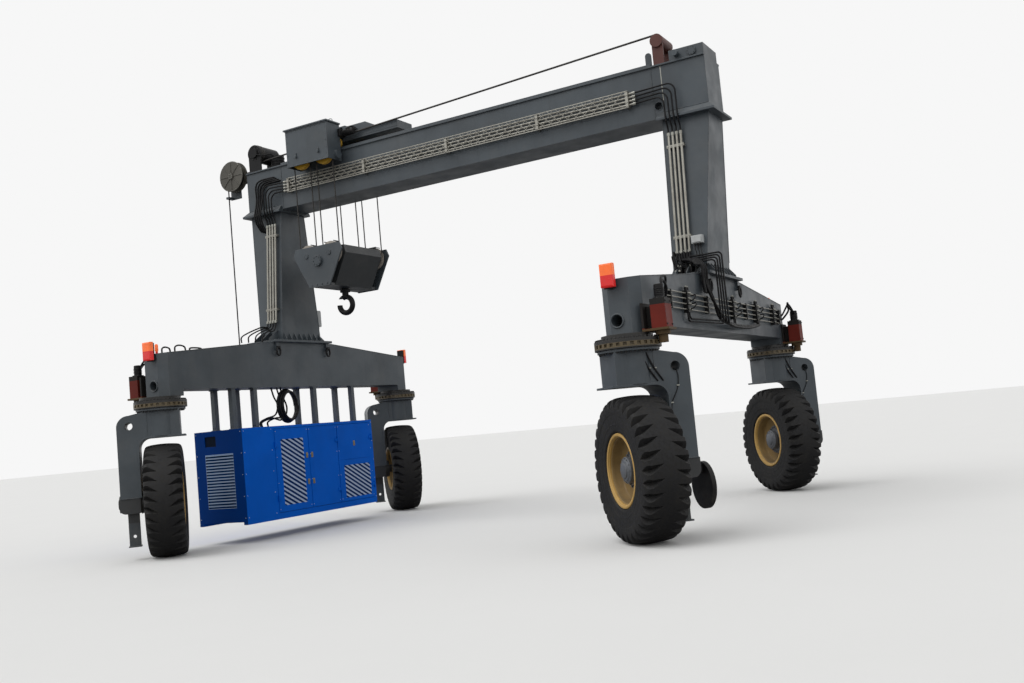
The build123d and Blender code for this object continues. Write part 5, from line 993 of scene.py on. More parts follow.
@dataclass
class Tyre:
    """Earthmover tyre with slanted V notches cut in from both shoulders and a plain band between them."""

    radius: float = WHEEL_RADIUS
    half_width: float = 0.300
    bead_radius: float = 0.4255
    bead_plane: float = 0.2425
    flange_radius: float = 0.476
    pitches: int = 34
    rows_per_pitch: int = 12
    notch_start: float = 0.070
    notch_fall: float = 0.66
    notch_flank: float = 1.75
    notch_slant: float = 0.062
    notch_foot: float = 0.205

    def outline(self) -> np.ndarray:
        """Half outline of the tyre from the crown to the bead, as (place across, radius)."""
        r = self.radius
        w = self.half_width
        points = [
            (0.0, r), (0.2 * w, r - 0.001), (0.32 * w, r - 0.003), (0.45 * w, r - 0.006), (0.62 * w, r - 0.011),
            (0.76 * w, r - 0.017), (0.86 * w, r - 0.027), (0.93 * w, r - 0.046), (0.975 * w, r - 0.078),
            (0.995 * w, r - 0.115), (1.0 * w, r - 0.165), (0.995 * w, r - 0.205), (0.992 * w, r - 0.212),
            (0.984 * w, r - 0.218), (0.978 * w, r - 0.29), (0.965 * w, r - 0.335), (0.972 * w, r - 0.342),
            (0.960 * w, r - 0.350), (0.945 * w, self.flange_radius + 0.05), (0.93 * w, self.flange_radius + 0.022),
            (0.86 * w, self.flange_radius + 0.006), (self.bead_plane, self.flange_radius),
            (self.bead_plane, self.bead_radius),
        ]
        return np.array(points)

    def across(self) -> np.ndarray:
        """Finer outline from the crown to the bead."""
        path = smooth_path([(x, y, 0.0) for x, y in self.outline()[:-2]], 3)[:, :2]
        return np.concatenate([path, self.outline()[-1:]])

    def normals(self, path: np.ndarray) -> np.ndarray:
        """Outward direction at each point of the outline."""
        tangent = np.gradient(path, axis=0)
        tangent /= np.linalg.norm(tangent, axis=1, keepdims=True)
        return np.stack([-tangent[:, 1], tangent[:, 0]], axis=1)

    def build_patch(self) -> Patch:
        """Surface of the tyre.

        A notch is the space above two planes that meet in a valley: F = r - (R - fall * (x - start) +
        flank * distance from the valley) is positive inside it. A point of the outline moves inwards
        along its normal n by F / (n_r + fall * n_x). Grid lines follow the valley and both flanks.

        Returns:
            The closed surface, with its axle along X.
        """
        path = self.across()
        x, r = path[:, 0], path[:, 1]
        normal = self.normals(path)
        valley = r - (self.radius - self.notch_fall * (x - self.notch_start))
        fade = np.clip((r - (self.radius - self.notch_foot)) / 0.05, 0.0, 1.0)
        valley = np.where(x > self.notch_start, valley, 0.0) * fade
        pitch_length = 2 * math.pi * r / self.pitches
        width = np.clip(valley / self.notch_flank / pitch_length, 0.012, 0.43)
        even = 2.0 / self.rows_per_pitch
        toward_crown = np.clip((self.notch_start - x) / self.notch_start, 0.0, 1.0)
        toward_bead = np.clip((self.radius - self.notch_foot - r) / 0.04, 0.0, 1.0)
        loose = np.maximum(toward_crown, toward_bead)
        width = width * (1.0 - loose) + even * loose
        half_rows = self.rows_per_pitch // 2
        step = np.arange(-half_rows, half_rows)
        reach = np.abs(step)[:, None]
        land = width + (0.5 - width) * (reach - 2) / (half_rows - 2)
        offset = np.sign(step)[:, None] * np.where(reach <= 2, width * reach / 2, land)
        depth = np.clip(valley - self.notch_flank * np.abs(offset) * pitch_length, 0.0, None)
        depth = depth / (np.abs(normal[:, 1]) + self.notch_fall * np.abs(normal[:, 0]) + 1e-6)
        lean = self.notch_slant * np.clip((x - self.notch_start) / 0.156, -0.6, 1.0) / r
        middle = 2 * math.pi * np.arange(self.pitches)[:, None, None] / self.pitches
        sides = []
        for sign, shift in ((1, 0), (-1, half_rows)):
            turn = middle + (offset[None] + shift / self.rows_per_pitch) * 2 * math.pi / self.pitches
            turn = (turn + lean[None, None]).reshape(-1, len(path))
            deep = np.tile(depth, (self.pitches, 1))
            across = x[None] - deep * normal[None, :, 0]
            out = r[None] - deep * normal[None, :, 1]
            ring = np.stack([sign * across, out * np.cos(turn), out * np.sin(turn)], axis=-1)
            sides.append(np.roll(ring, shift, axis=0))
        whole = np.concatenate([sides[0][:, ::-1], sides[1][:, 1:]], axis=1)
        rows, cols = whole.shape[:2]
        return Patch(whole.reshape(-1, 3) + np.array([0.0, 0.0, self.radius]), [grid_faces(rows, cols, True, True)])

    def pieces(self) -> Iterator[Piece]:
        """One tyre at each corner."""
        patch = self.build_patch()
        for corner, side_x, side_y in CORNERS:
            placed = patch.moved(corner_matrix(side_x, side_y))
            yield Piece("tread_" + corner, placed, Coat.TYRE, "wheel_" + corner, 24.0, stands_for=("tyre_" + corner,))


@dataclass
class Wheel:
    """Rim with a curled flange and lock ring, and a hub with its cap and nuts."""

    barrel: float = 0.403
    flange: float = 0.4725
    lip: float = 0.272
    web_plane: float = -0.040
    web_back: float = -0.074
    hub_radius: float = 0.168
    hub_reach: float = 0.236
    hub_back: float = 0.150
    nut_circle: float = 0.222
    nuts: int = 20

    def flanges(self) -> Patch:
        """Curled flanges and lock ring on the outer side, and the flange on the inner side."""
        b, f, w = self.barrel, self.flange, self.lip
        outer = [
            (-0.243, 0.425), (-0.243, f), (-w + 0.014, f + 0.0015), (-w + 0.004, f - 0.003), (-w, f - 0.012),
            (-w, b + 0.040), (-w + 0.006, b + 0.030), (-w + 0.022, b + 0.026), (-w + 0.026, b + 0.020),
            (-w + 0.046, b + 0.020), (-w + 0.048, 0.425),
        ]
        inner = [(0.243, 0.425), (w - 0.06, b + 0.008), (w, b + 0.024), (w, f - 0.012), (w - 0.004, f - 0.003),
                 (w - 0.014, f + 0.0015), (0.243, f)]
        return join([lathe(outer, 72), lathe(inner[::-1], 72)])

    def dish(self) -> Patch:
        """Barrel and web of the rim."""
        b, w = self.barrel, self.lip
        profile = [
            (-w + 0.045, 0.424), (-w + 0.046, b + 0.019), (-w + 0.053, b + 0.006), (-w + 0.088, b),
            (self.web_plane - 0.075, b), (self.web_plane - 0.055, b - 0.012), (self.web_plane - 0.028, 0.290),
            (self.web_back, 0.160), (self.web_plane, 0.160), (self.web_plane, 0.290),
            (self.web_plane + 0.04, b - 0.012), (self.web_plane + 0.06, b), (w - 0.08, b), (w - 0.062, b + 0.007),
            (w - 0.062, 0.424),
        ]
        return lathe(profile, 72)

    def hub(self) -> Patch:
        """Turned hub, closed by a round cap on its outer side."""
        r, o = self.hub_radius, -self.hub_reach
        return lathe(
            [
                (o, 0.0001), (o, 0.088), (o + 0.004, 0.096), (o + 0.018, 0.102), (o + 0.020, 0.128), (o + 0.034, 0.140),
                (o + 0.036, r - 0.010), (o + 0.044, r), (o + 0.090, r), (o + 0.094, r - 0.012), (o + 0.120, r - 0.014),
                (self.web_back - 0.020, r + 0.004), (self.web_back - 0.018, 0.248), (self.web_back - 0.004, 0.252),
                (self.web_back + 0.004, r), (self.hub_back, r), (self.hub_back, 0.081), (o + 0.075, 0.081),
                (o + 0.07, 0.0001),
            ],
            48,
        )

    def nut_patch(self) -> Patch:
        """Wheel nuts and the smaller bolts round the cap."""
        nuts = loop_path((self.web_back - 0.018, 0.0, 0.0), Axis.X, self.nut_circle, self.nuts)
        small = loop_path((-self.hub_reach + 0.034, 0.0, 0.0), Axis.X, 0.150, 12)
        return join([studs(nuts, (-1, 0, 0), 0.015, 0.026), studs(small, (-1, 0, 0), 0.008, 0.010)])

    def pieces(self) -> Iterator[Piece]:
        """Rim, hub and nuts at each corner."""
        lift = Matrix.Translation((0.0, 0.0, WHEEL_RADIUS))
        flanges, dish, hub, nuts = self.flanges(), self.dish(), self.hub(), self.nut_patch()
        for corner, side_x, side_y in CORNERS:
            place = corner_matrix(side_x, side_y) @ lift
            body = "wheel_" + corner
            rim = ("rim_" + corner,)
            yield Piece("rim_flange_" + corner, flanges.moved(place), Coat.RIM, body, 32.0, stands_for=rim)
            # The dish takes the darker ochre, which is painted shade inside the rim
            yield Piece("rim_dish_" + corner, dish.moved(place), Coat.OCHRE, body, 32.0)
            yield Piece("hub_" + corner, hub.moved(place), Coat.HUB, body, 32.0)
            yield Piece("wheel_nuts_" + corner, nuts.moved(place), Coat.HUB, body)


@dataclass
class ForkTrim:
    """Weld beads, bolts, cover and thin hoses of the one-sided forks, in the fork's own frame."""

    face: float = 0.260
    outer: float = 0.690
    inner: float = 0.385
    top: float = 2.400
    arm_bottom: float = 1.980
    leg_bottom: float = 1.010
    column: float = 0.300
    column_seam: float = 0.215
    flange_bolts: float = 0.365
    case_outer: float = 0.712
    cover_height: float = WHEEL_RADIUS - 0.01
    case_bolts: tuple[tuple[float, float], ...] = ((-0.215, 0.892), (-0.215, 0.97), (0.215, 0.892), (0.215, 0.97))
    housing: float = 0.178
    hole: tuple[float, float, float] = (0.500, 2.172, 0.066)
    hose_run: HoseRun = HoseRun(
        ((0.03, -0.259, 2.39), (0.055, -0.275, 2.33), (0.125, -0.275, 2.18), (0.20, -0.275, 2.06),
         (0.245, -0.261, 2.0)),
        ((0.075, 0.0, 0.0),), 2, 0.011, 10,
    )
    cable_run: HoseRun = HoseRun(
        ((0.505, -0.236, 2.125), (0.512, -0.268, 2.1), (0.522, -0.269, 2.02), (0.5, -0.269, 1.9),
         (0.452, -0.269, 1.8), (0.415, -0.269, 1.74), (0.395, -0.267, 1.66), (0.392, -0.262, 1.6)),
        ((0.0, 0.0, 0.0),), 1, 0.006, 10,
    )
    clip_places: tuple[tuple[float, float], ...] = ((0.506, 1.925), (0.405, 1.715), (0.145, 2.165), (0.220, 2.165))

    def welds(self) -> Patch:
        """Beads along the column, the flange, the lower housing and the round hole."""
        patches = []
        for sign in (-1, 1):
            y = sign * (self.face + 0.001)
            foot = ((self.inner + 0.01, y, self.leg_bottom), (self.outer - 0.01, y, self.leg_bottom))
            seam = ((self.column_seam, y, self.arm_bottom + 0.03), (self.column_seam, y, self.top - 0.01))
            patches += [bead(*foot, 0.009), bead(*seam, 0.006)]
        collar, neck = self.column + 0.004, self.housing + 0.004
        patches.append(hoop((0.0, 0.0, self.top - 0.002), Axis.Z, collar, 0.008, 120, 6, 0.2))
        patches.append(hoop((self.inner - 0.002, 0.0, WHEEL_RADIUS), Axis.X, neck, 0.007, 80, 6, 0.2))
        edge, half = self.outer + 0.001, self.face - 0.012
        patches.append(bead((edge, -half, self.leg_bottom), (edge, half, self.leg_bottom), 0.009))
        x, z, radius = self.hole
        patches += [hoop((x, y, z), Axis.Y, radius, 0.005, 40, 6) for y in (-self.face, self.face)]
        return join(patches)

    def bolts(self) -> Patch:
        """Bolts of the top flange and of the drive housing's cover."""
        ring = loop_path((0.0, 0.0, self.top), Axis.Z, self.flange_bolts, 40)
        cover = loop_path((self.case_outer, 0.0, self.cover_height), Axis.X, 0.115, 12)
        corners = [(self.case_outer, y, z) for y, z in self.case_bolts]
        return join([studs(ring, (0, 0, -1), 0.014, 0.022), studs(cover, (1, 0, 0), 0.012, 0.014),
                     studs(corners, (1, 0, 0), 0.011, 0.012)])

    def cover(self) -> Patch:
        """Round cover on the drive housing's outer side."""
        profile = [(0.0, 0.0001), (0.0, 0.138), (0.010, 0.138), (0.014, 0.130), (0.014, 0.085), (0.030, 0.075),
                   (0.032, 0.0001)]
        return lathe(profile, 36).moved(Matrix.Translation((self.case_outer - 0.001, 0.0, self.cover_height)))

    def clips(self) -> Patch:
        """Small saddles that hold the cable and the hoses to the fork."""
        return boxes([(x, -self.face - 0.004, z) for x, z in self.clip_places], (0.020, 0.016, 0.007))

    def pieces(self) -> Iterator[Piece]:
        """Trim of the four forks."""
        hoses = join([self.hose_run.build(), self.cable_run.build()])
        for corner, side_x, side_y in CORNERS:
            place = corner_matrix(side_x, side_y)
            body = "fork_" + corner
            yield Piece("fork_welds_" + corner, self.welds().moved(place), Coat.GREY, body, smooth=50.0)
            yield Piece("fork_bolts_" + corner, self.bolts().moved(place), Coat.DARK, body)
            yield Piece("drive_cover_" + corner, self.cover().moved(place), Coat.DARK, body, smooth=35.0)
            yield Piece("fork_hoses_" + corner, hoses.moved(place), Coat.HOSE, body, smooth=60.0)
            yield Piece("fork_clips_" + corner, self.clips().moved(place), Coat.GALVANISED, body, bevel=0.003)


@dataclass
class SlewTrim:
    """Bolts on the slew rings."""

    top: float = 2.554
    radius: float = 0.400
    count: int = 44

    def pieces(self) -> Iterator[Piece]:
        """Bolt rings under the four beam ends."""
        rings = []
        for _, side_x, side_y in CORNERS:
            ring = loop_path((side_x * HALF_SPAN, side_y * HALF_BASE, self.top), Axis.Z, self.radius, self.count)
            rings.append(studs(ring, (0, 0, 1), 0.014, 0.024))
        yield Piece("slew_bolts", join(rings), Coat.DARK)


@dataclass
class BeamTrim:
    """Welds, shackles, bent bars, socket rims and a small lamp on the two side beams."""

    half_width: float = 0.270
    half_length: float = 3.475
    end_top: float = 3.335
    mid_top: float = 3.580
    flat_half: float = 0.900
    weld_end: float = 3.340
    socket_height: float = 2.800
    hook_reach: float = 0.720
    loop_rows: tuple[tuple[float, float, float], ...] = ((-3.24, 0.09, 0.09), (-2.93, 0.12, 0.10), (-2.58, 0.14, 0.03))
    loop_inset: float = 0.12
    beacon_place: tuple[float, float, float] = (0.03 - HALF_SPAN, -3.36, 3.34)

    def top_at(self, y: float) -> float:
        """Height of the beam's top at a place along it."""
        share = max(0.0, (abs(y) - self.flat_half) / (self.half_length - self.flat_half))
        return self.mid_top + (self.end_top - self.mid_top) * share

    def welds(self) -> Patch:
        """Beads along the long edges, and rounded edges round the sockets in the beams' ends."""
        patches = []
        for x in (side * HALF_SPAN + face * (self.half_width + 0.001) for side in (-1, 1) for face in (-1, 1)):
            for ends in ((-self.weld_end, -self.flat_half), (self.flat_half, self.weld_end)):
                patches.append(bead(*((x, y, self.top_at(y) - 0.006) for y in ends), 0.006))
        for _, side_x, side_y in CORNERS:
            centre = (side_x * (HALF_SPAN - 0.045), side_y * (self.half_length + 0.012), self.socket_height)
            patches.append(hoop(centre, Axis.Y, 0.086, 0.010, 40))
        return join(patches)

    def shackles(self) -> Patch:
        """Dark rings that hang from the hook brackets under each leg's foot."""
        patches = []
        for x in (side * HALF_SPAN + face * (self.half_width + 0.055) for side in (-1, 1) for face in (-1, 1)):
            for y in (-self.hook_reach, self.hook_reach):
                patches.append(tube(loop_path((x, y, 3.400), Axis.X, 0.050, 24, 0.078), 0.018, 8, 0.0, True))
                patches.append(boxes([(x, y, 3.481)], (0.022, 0.036, 0.019)))
        return join(patches)

    def top_loops(self) -> Patch:
        """Bent bars that stand on the left beam's front half."""
        x = self.loop_inset - HALF_SPAN
        patches = []
        for y, width, height in self.loop_rows:
            z = self.top_at(y)
            patches.append(hose([
                (x, y - width, z - 0.01), (x, y - width * 0.92, z + height * 0.7), (x, y - 0.02, z + height),
                (x, y + width * 0.8, z + height * 0.75), (x, y + width, z - 0.01),
            ], 0.014))
        return join(patches)

    def beacon(self) -> Patch:
        """Small round lamp on a stalk at the left beam's front end."""
        profile = [(0.0, 0.0001), (0.0, 0.022), (0.05, 0.022), (0.052, 0.030), (0.150, 0.028), (0.165, 0.018),
                   (0.168, 0.0001)]
        return lathe(profile, 20).moved(Matrix.Translation(self.beacon_place) @ UPRIGHT)

    def pieces(self) -> Iterator[Piece]:
        """Trim of both beams."""
        yield Piece("beam_welds", self.welds(), Coat.GREY, smooth=50.0)
        yield Piece("shackles", self.shackles(), Coat.BLACK, smooth=50.0)
        yield Piece("beam_loops", self.top_loops(), Coat.BLACK, smooth=60.0)
        yield Piece("beacon", self.beacon(), Coat.LENS, smooth=40.0)


@dataclass
class LegTrim:
    """Welds on the legs, clamp bolts, and the hoses and valves at the legs' feet."""

    inner: float = 0.293
    outer_base: float = 0.235
    outer_top: float = 0.458
    half_base: float = 0.560
    half_top: float = 0.328
    base: float = 3.622
    top: float = 6.109
    clamp_rows: tuple[tuple[float, float], ...] = ((4.22, -0.574), (5.66, -0.439))
    clamp_bolt_places: tuple[float, ...] = (4.012, 4.063, 4.129, 4.195, 4.246)
    arch_run: HoseRun = HoseRun(
        ((-4.030, -0.594, 3.982), (-4.030, -0.606, 3.90), (-4.020, -0.68, 3.80), (-4.000, -0.86, 3.78),
         (-4.000, -0.99, 3.70), (-4.010, -1.02, 3.575)),
        ((-0.066, 0.0, 0.0), (-0.066, 0.0, 0.0), (-0.066, 0.0, 0.03), (-0.066, 0.0, 0.03), (-0.066, -0.11, 0.0),
         (-0.066, -0.11, 0.0)),
        4, 0.013,
    )
    bundle_radius: float = 0.021
    curl_radius: float = 0.015
    curls: tuple[tuple[float, float, float, float], ...] = (
        (3.965, 3.69, 3.93, 0.05), (4.00, 3.67, 3.99, 0.09), (4.10, 3.70, 3.90, 0.12), (4.16, 3.68, 3.97, 0.07),
        (4.25, 3.70, 3.88, 0.13), (4.30, 3.67, 3.84, 0.08), (4.36, 3.69, 3.81, 0.10),
    )

    def edge(self, side: int, face: int, front: int, z: float) -> Point:
        """Corner of a leg at a height.

        Args:
            side: -1 for the left leg, 1 for the right one.
            face: -1 for its inner side, 1 for its outer side.
            front: -1 for its front, 1 for its back.
            z: Height.

        Returns:
            The point.
        """
        share = (z - self.base) / (self.top - self.base)
        outer = self.outer_base + (self.outer_top - self.outer_base) * share
        half = self.half_base + (self.half_top - self.half_base) * share
        return (side * (HALF_SPAN + (outer if face > 0 else -self.inner)), front * half, z)

    def welds(self) -> Patch:
        """Beads up the corners and round the foot."""
        patches = []
        around = ((-1, -1), (1, -1), (1, 1), (-1, 1))
        for side in (-1, 1):
            for face, front in around:
                ends = [self.edge(side, face, front, z) for z in (self.base + 0.24, self.top - 0.01)]
                patches.append(bead(*ends, 0.006))
            corners = [self.edge(side, face, front, self.base + 0.006) for face, front in around]
            patches += [bead(start, end, 0.009) for start, end in zip(corners, corners[1:] + corners[:1])]
        return join(patches)

    def clamp_bolts(self) -> Patch:
        """Bolts on each pipe clamp."""
        places = [(side * x, y, z) for side in (-1, 1) for z, y in self.clamp_rows for x in self.clamp_bolt_places]
        return studs(places, (0, -1, 0), 0.009, 0.012)

    def foot_bundle(self) -> Patch:
        """Thick hoses from the right leg's pipes round the foot plate's corner and down the beam's outer side.

        Two of the six go on below the beam's pipes to the third valve block.
        """
        patches = []
        for i in range(6):
            x = 4.035 + 0.040 * i
            lane = -0.865 - 0.042 * i
            out = 4.532 + 0.020 * (i % 2)
            route = [
                (x, -0.602, 3.970), (x + 0.01, -0.640, 3.87), (4.24 + 0.02 * i, -0.74 - 0.012 * i, 3.83 - 0.01 * i),
                (4.43 + 0.01 * i, lane + 0.015, 3.79 - 0.018 * i), (out, lane, 3.66), (out + 0.004, lane, 3.45),
            ]
            if i % 3 == 0:
                route += [
                    (out + 0.055, lane + 0.05, 3.20), (out + 0.065, -0.66 + 0.04 * i, 2.93),
                    (out + 0.060, -0.25 + 0.04 * i, 2.850 - 0.01 * i), (out + 0.055, 0.70, 2.842 - 0.01 * i),
                    (out + 0.040, 1.42, 2.885), (BEAM_PIPE_X, 1.545 - 0.01 * i, 2.945),
                ]
            else:
                route += [(out + 0.020, lane - 0.02, 3.33), (out + 0.030, lane - 0.03, 3.262)]
            patches.append(hose(route, self.bundle_radius, 8))
        return join(patches)

    def tangle(self) -> Patch:
        """Short hoses that curl round the front of the right leg's foot."""
        y = -0.600
        return join([hose([
            (x, y + 0.04, high - 0.06), (x - 0.005, y - reach * 0.6, high), (x + 0.02, y - reach, (low + high) / 2),
            (x + 0.045, y - reach * 0.8, low + 0.03), (x + 0.085, y + 0.01, low + 0.01 * (i % 3)),
            (x + 0.110, y + 0.04, low + 0.06),
        ], self.curl_radius) for i, (x, low, high, reach) in enumerate(self.curls)])

    def manifold(self) -> Patch:
        """Valve manifold on the foot plate in front of the right leg."""
        return boxes([(4.050, -0.640, 3.690), (4.205, -0.630, 3.675)], (0.060, 0.045, 0.065))

    def manifold_fittings(self) -> Patch:
        """Fittings on the manifold's top and front."""
        top = [(x, -0.640, 3.755) for x in (4.015, 4.050, 4.085)] + [(x, -0.630, 3.740) for x in (4.180, 4.230)]
        front = [(x, -0.685, 3.690) for x in (4.020, 4.080)]
        return join([studs(top, (0, 0, 1), 0.016, 0.034), studs(front, (0, -1, 0), 0.018, 0.028)])

    def pieces(self) -> Iterator[Piece]:
        """Trim of both legs."""
        yield Piece("foot_bundle", self.foot_bundle(), Coat.HOSE, smooth=60.0)
        yield Piece("foot_tangle", self.tangle(), Coat.HOSE, smooth=60.0)
        yield Piece("foot_manifold", self.manifold(), Coat.BLACK, bevel=0.004)
        yield Piece("manifold_fittings", self.manifold_fittings(), Coat.GALVANISED)
        yield Piece("leg_welds", self.welds(), Coat.GREY, smooth=50.0)
        yield Piece("leg_clamp_bolts", self.clamp_bolts(), Coat.GALVANISED)
        yield Piece("leg_foot_hoses", self.arch_run.build(), Coat.HOSE, smooth=60.0)


@dataclass
class GirderTrim:
    """Welds, seam, bracket bolts, pipe unions and the left knee's thick hoses on the girder and its heads."""

    half_width: float = 0.354
    bottom: float = 6.157
    top: float = 6.984
    joint: float = 3.830
    head_end: float = 4.708
    collar_bead: tuple[float, float, float] = (4.0, 4.69, 6.245)
    seam_place: float = 3.99
    brackets: tuple[float, ...] = (-3.60, -1.80, 0.0, 1.80, 3.42)
    bracket_bolt_heights: tuple[float, ...] = (6.434, 6.500, 6.614, 6.680)
    pipes: tuple[float, ...] = (6.470, 6.528, 6.586, 6.644)
    leg_pipes: tuple[float, ...] = (4.030, 4.096, 4.162, 4.228)
    port: tuple[float, float] = (3.90, 6.357)
    knee_run: HoseRun = HoseRun(
        ((-3.86, -0.345, 6.715), (-3.90, -0.378, 6.715), (-4.185, -0.385, 6.70), (-4.295, -0.392, 6.595),
         (-4.315, -0.400, 6.42), (-4.31, -0.470, 6.19), (-4.305, -0.500, 6.08), (-4.295, -0.470, 5.95),
         (-4.285, -0.412, 5.80), (-4.285, -0.350, 5.74)),
        ((-0.05, 0.0, 0.03), (-0.05, 0.0, 0.03), (-0.048, -0.008, 0.03), (-0.048, -0.008, 0.03), (-0.048, 0.0, 0.0),
         (-0.048, 0.0, 0.0), (-0.048, 0.0, 0.0), (-0.048, 0.0, 0.0), (-0.048, 0.0, 0.02), (-0.048, 0.0, 0.02)),
        4, 0.0165,
    )

    def welds(self) -> Patch:
        """Beads at the plate joints and under the top flange, and the ring round the right head's port."""
        patches = []
        start, end, height = self.collar_bead
        reach = self.head_end - 0.01
        for y in (-self.half_width - 0.001, self.half_width + 0.001):
            patches.append(bead((-reach, y, self.top - 0.004), (reach, y, self.top - 0.004), 0.006))
            for side in (-1, 1):
                x = side * self.joint
                patches.append(bead((x, y, self.bottom), (x, y, self.top - 0.01), 0.008))
                patches.append(bead((side * start, y, height), (side * end, y, height), 0.008))
        x, z = self.port
        patches.append(hoop((x, -self.half_width - 0.001, z), Axis.Y, 0.068, 0.008, 40))
        return join(patches)

    def seam(self) -> Patch:
        """Pale strip where the right head's front plates meet."""
        x, y = self.seam_place, -self.half_width
        return box(x - 0.007, x + 0.007, y - 0.004, y + 0.002, 6.26, self.top - 0.012)

    def bracket_bolts(self) -> Patch:
        """Bolts between the pipes on each bracket, through the guard's uprights."""
        places = [(x + dx, -0.458, z) for x in self.brackets for dx in (-0.011, 0.011)
                  for z in self.bracket_bolt_heights]
        return studs(places, (0, -1, 0), 0.006, 0.008)

    def unions(self) -> Patch:
        """Hexagon unions where hoses meet the pipes."""
        patches = []
        for z in self.pipes:
            for x, way in ((3.505, 1), (-3.685, -1)):
                patches.append(studs([(x, -0.416, z)], (way, 0, 0), 0.024, 0.050))
        for x in (side * x for side in (-1, 1) for x in self.leg_pipes):
            patches.append(studs([(x, -0.4115, 5.835)], (0, 0.09, 1), 0.026, 0.050))
            patches.append(studs([(x, -0.5925, 4.005)], (0, -0.09, -1), 0.026, 0.050))
        return join(patches)

    def pieces(self) -> Iterator[Piece]:
        """Trim of the girder and both heads."""
        yield Piece("head_hoses", self.knee_run.build(), Coat.HOSE, smooth=60.0)
        yield Piece("girder_welds", self.welds(), Coat.GREY, smooth=50.0)
        yield Piece("head_seams", self.seam(), Coat.GALVANISED, bevel=0.002)
        yield Piece("guard_bolts", self.bracket_bolts(), Coat.DARK)
        yield Piece("pipe_unions", self.unions(), Coat.GALVANISED)


@dataclass
class TrolleyTrim:
    """Panel bolts, bars, welds, motor fins, small hoses and roof handles of the trolley."""

    centre: float = TROLLEY_X
    half: float = 0.487
    outer: float = 0.800
    bottom: float = 6.760
    top: float = 7.450
    platform: float = 7.215
    lid_seams: tuple[float, ...] = (-2.303, -1.683, -1.123)
    lid_front: float = -0.236
    motor_place: tuple[float, float, float] = (-2.222, -0.358, 7.290)
    roof_handles: tuple[float, ...] = (-3.255, -2.335)
    motor_run: HoseRun = HoseRun(
        ((-2.155, -0.358, 7.362), (-2.155, -0.356, 7.385), (-2.128, -0.32, 7.402), (-2.088, -0.27, 7.380),
         (-2.058, -0.236, 7.345)),
        ((0.036, 0.0, 0.0),), 2, 0.009,
    )

    def panel_bolts(self) -> Patch:
        """Bolts along the edges of the front and back panels."""
        edge = self.half - 0.035
        rows = []
        for face in (-1, 1):
            rim = [(self.centre + x, face * self.outer, z) for z in (self.top - 0.03, self.bottom + 0.03)
                   for x in np.linspace(-edge, edge, 9)]
            rim += [(self.centre + x, face * self.outer, z) for x in (-edge, edge)
                    for z in np.linspace(self.bottom + 0.10, self.top - 0.10, 5)]
            rows.append(studs(rim, (0, face, 0), 0.008, 0.008))
        return join(rows)

    def frames(self) -> Patch:
        """Flat bars along the upper and lower edges of both sheave boxes."""
        centres = [(self.centre, face * (self.outer + 0.004), z) for face in (-1, 1)
                   for z in (self.bottom + 0.011, self.top - 0.011)]
        return boxes(centres, (self.half, 0.004, 0.011))

    def lid_welds(self) -> Patch:
        """Beads on the middle and low boxes."""
        y, z = self.lid_front, self.platform
        patches = [bead((x, y, z), (x, y, z + 0.105), 0.004) for x in self.lid_seams]
        return join(patches + [bead((-2.30, y - 0.001, z + 0.002), (-1.125, y - 0.001, z + 0.002), 0.005)])

    def motor_fins(self) -> Patch:
        """Cooling fins and end bell of the trolley's motor."""
        fin = ((0.0, 0.054), (0.0, 0.064), (0.007, 0.064), (0.007, 0.054))
        patches = [lathe([(x + dx, r) for dx, r in fin], 28) for x in np.linspace(0.0, 0.13, 8)]
        bell = [(0.160, 0.05), (0.160, 0.061), (0.186, 0.061), (0.196, 0.045), (0.197, 0.0001), (0.190, 0.0001)]
        return join(patches + [lathe(bell, 28, False)]).moved(Matrix.Translation(self.motor_place))

    def roof_loops(self) -> Patch:
        """Two wire handles on the front box's roof."""
        y, z = -0.62, self.top
        return join([hose([
            (x - 0.045, y, z - 0.01), (x - 0.045, y, z + 0.05), (x - 0.02, y, z + 0.078), (x + 0.03, y, z + 0.070),
            (x + 0.045, y, z + 0.04), (x + 0.045, y, z - 0.01),
        ], 0.006, 6) for x in self.roof_handles])

    def pieces(self) -> Iterator[Piece]:
        """Trim that rides on the trolley."""
        yield Piece("roof_loops", self.roof_loops(), Coat.GREY, "trolley", smooth=60.0)
        yield Piece("trolley_bolts", self.panel_bolts(), Coat.GREY, "trolley")
        yield Piece("trolley_bars", self.frames(), Coat.GREY, "trolley", bevel=0.002)
        yield Piece("trolley_welds", self.lid_welds(), Coat.GREY, "trolley", smooth=50.0)
        yield Piece("motor_fins", self.motor_fins(), Coat.BLACK, "trolley", smooth=35.0)
        yield Piece("trolley_hoses", self.motor_run.build(), Coat.HOSE, "trolley", smooth=60.0)


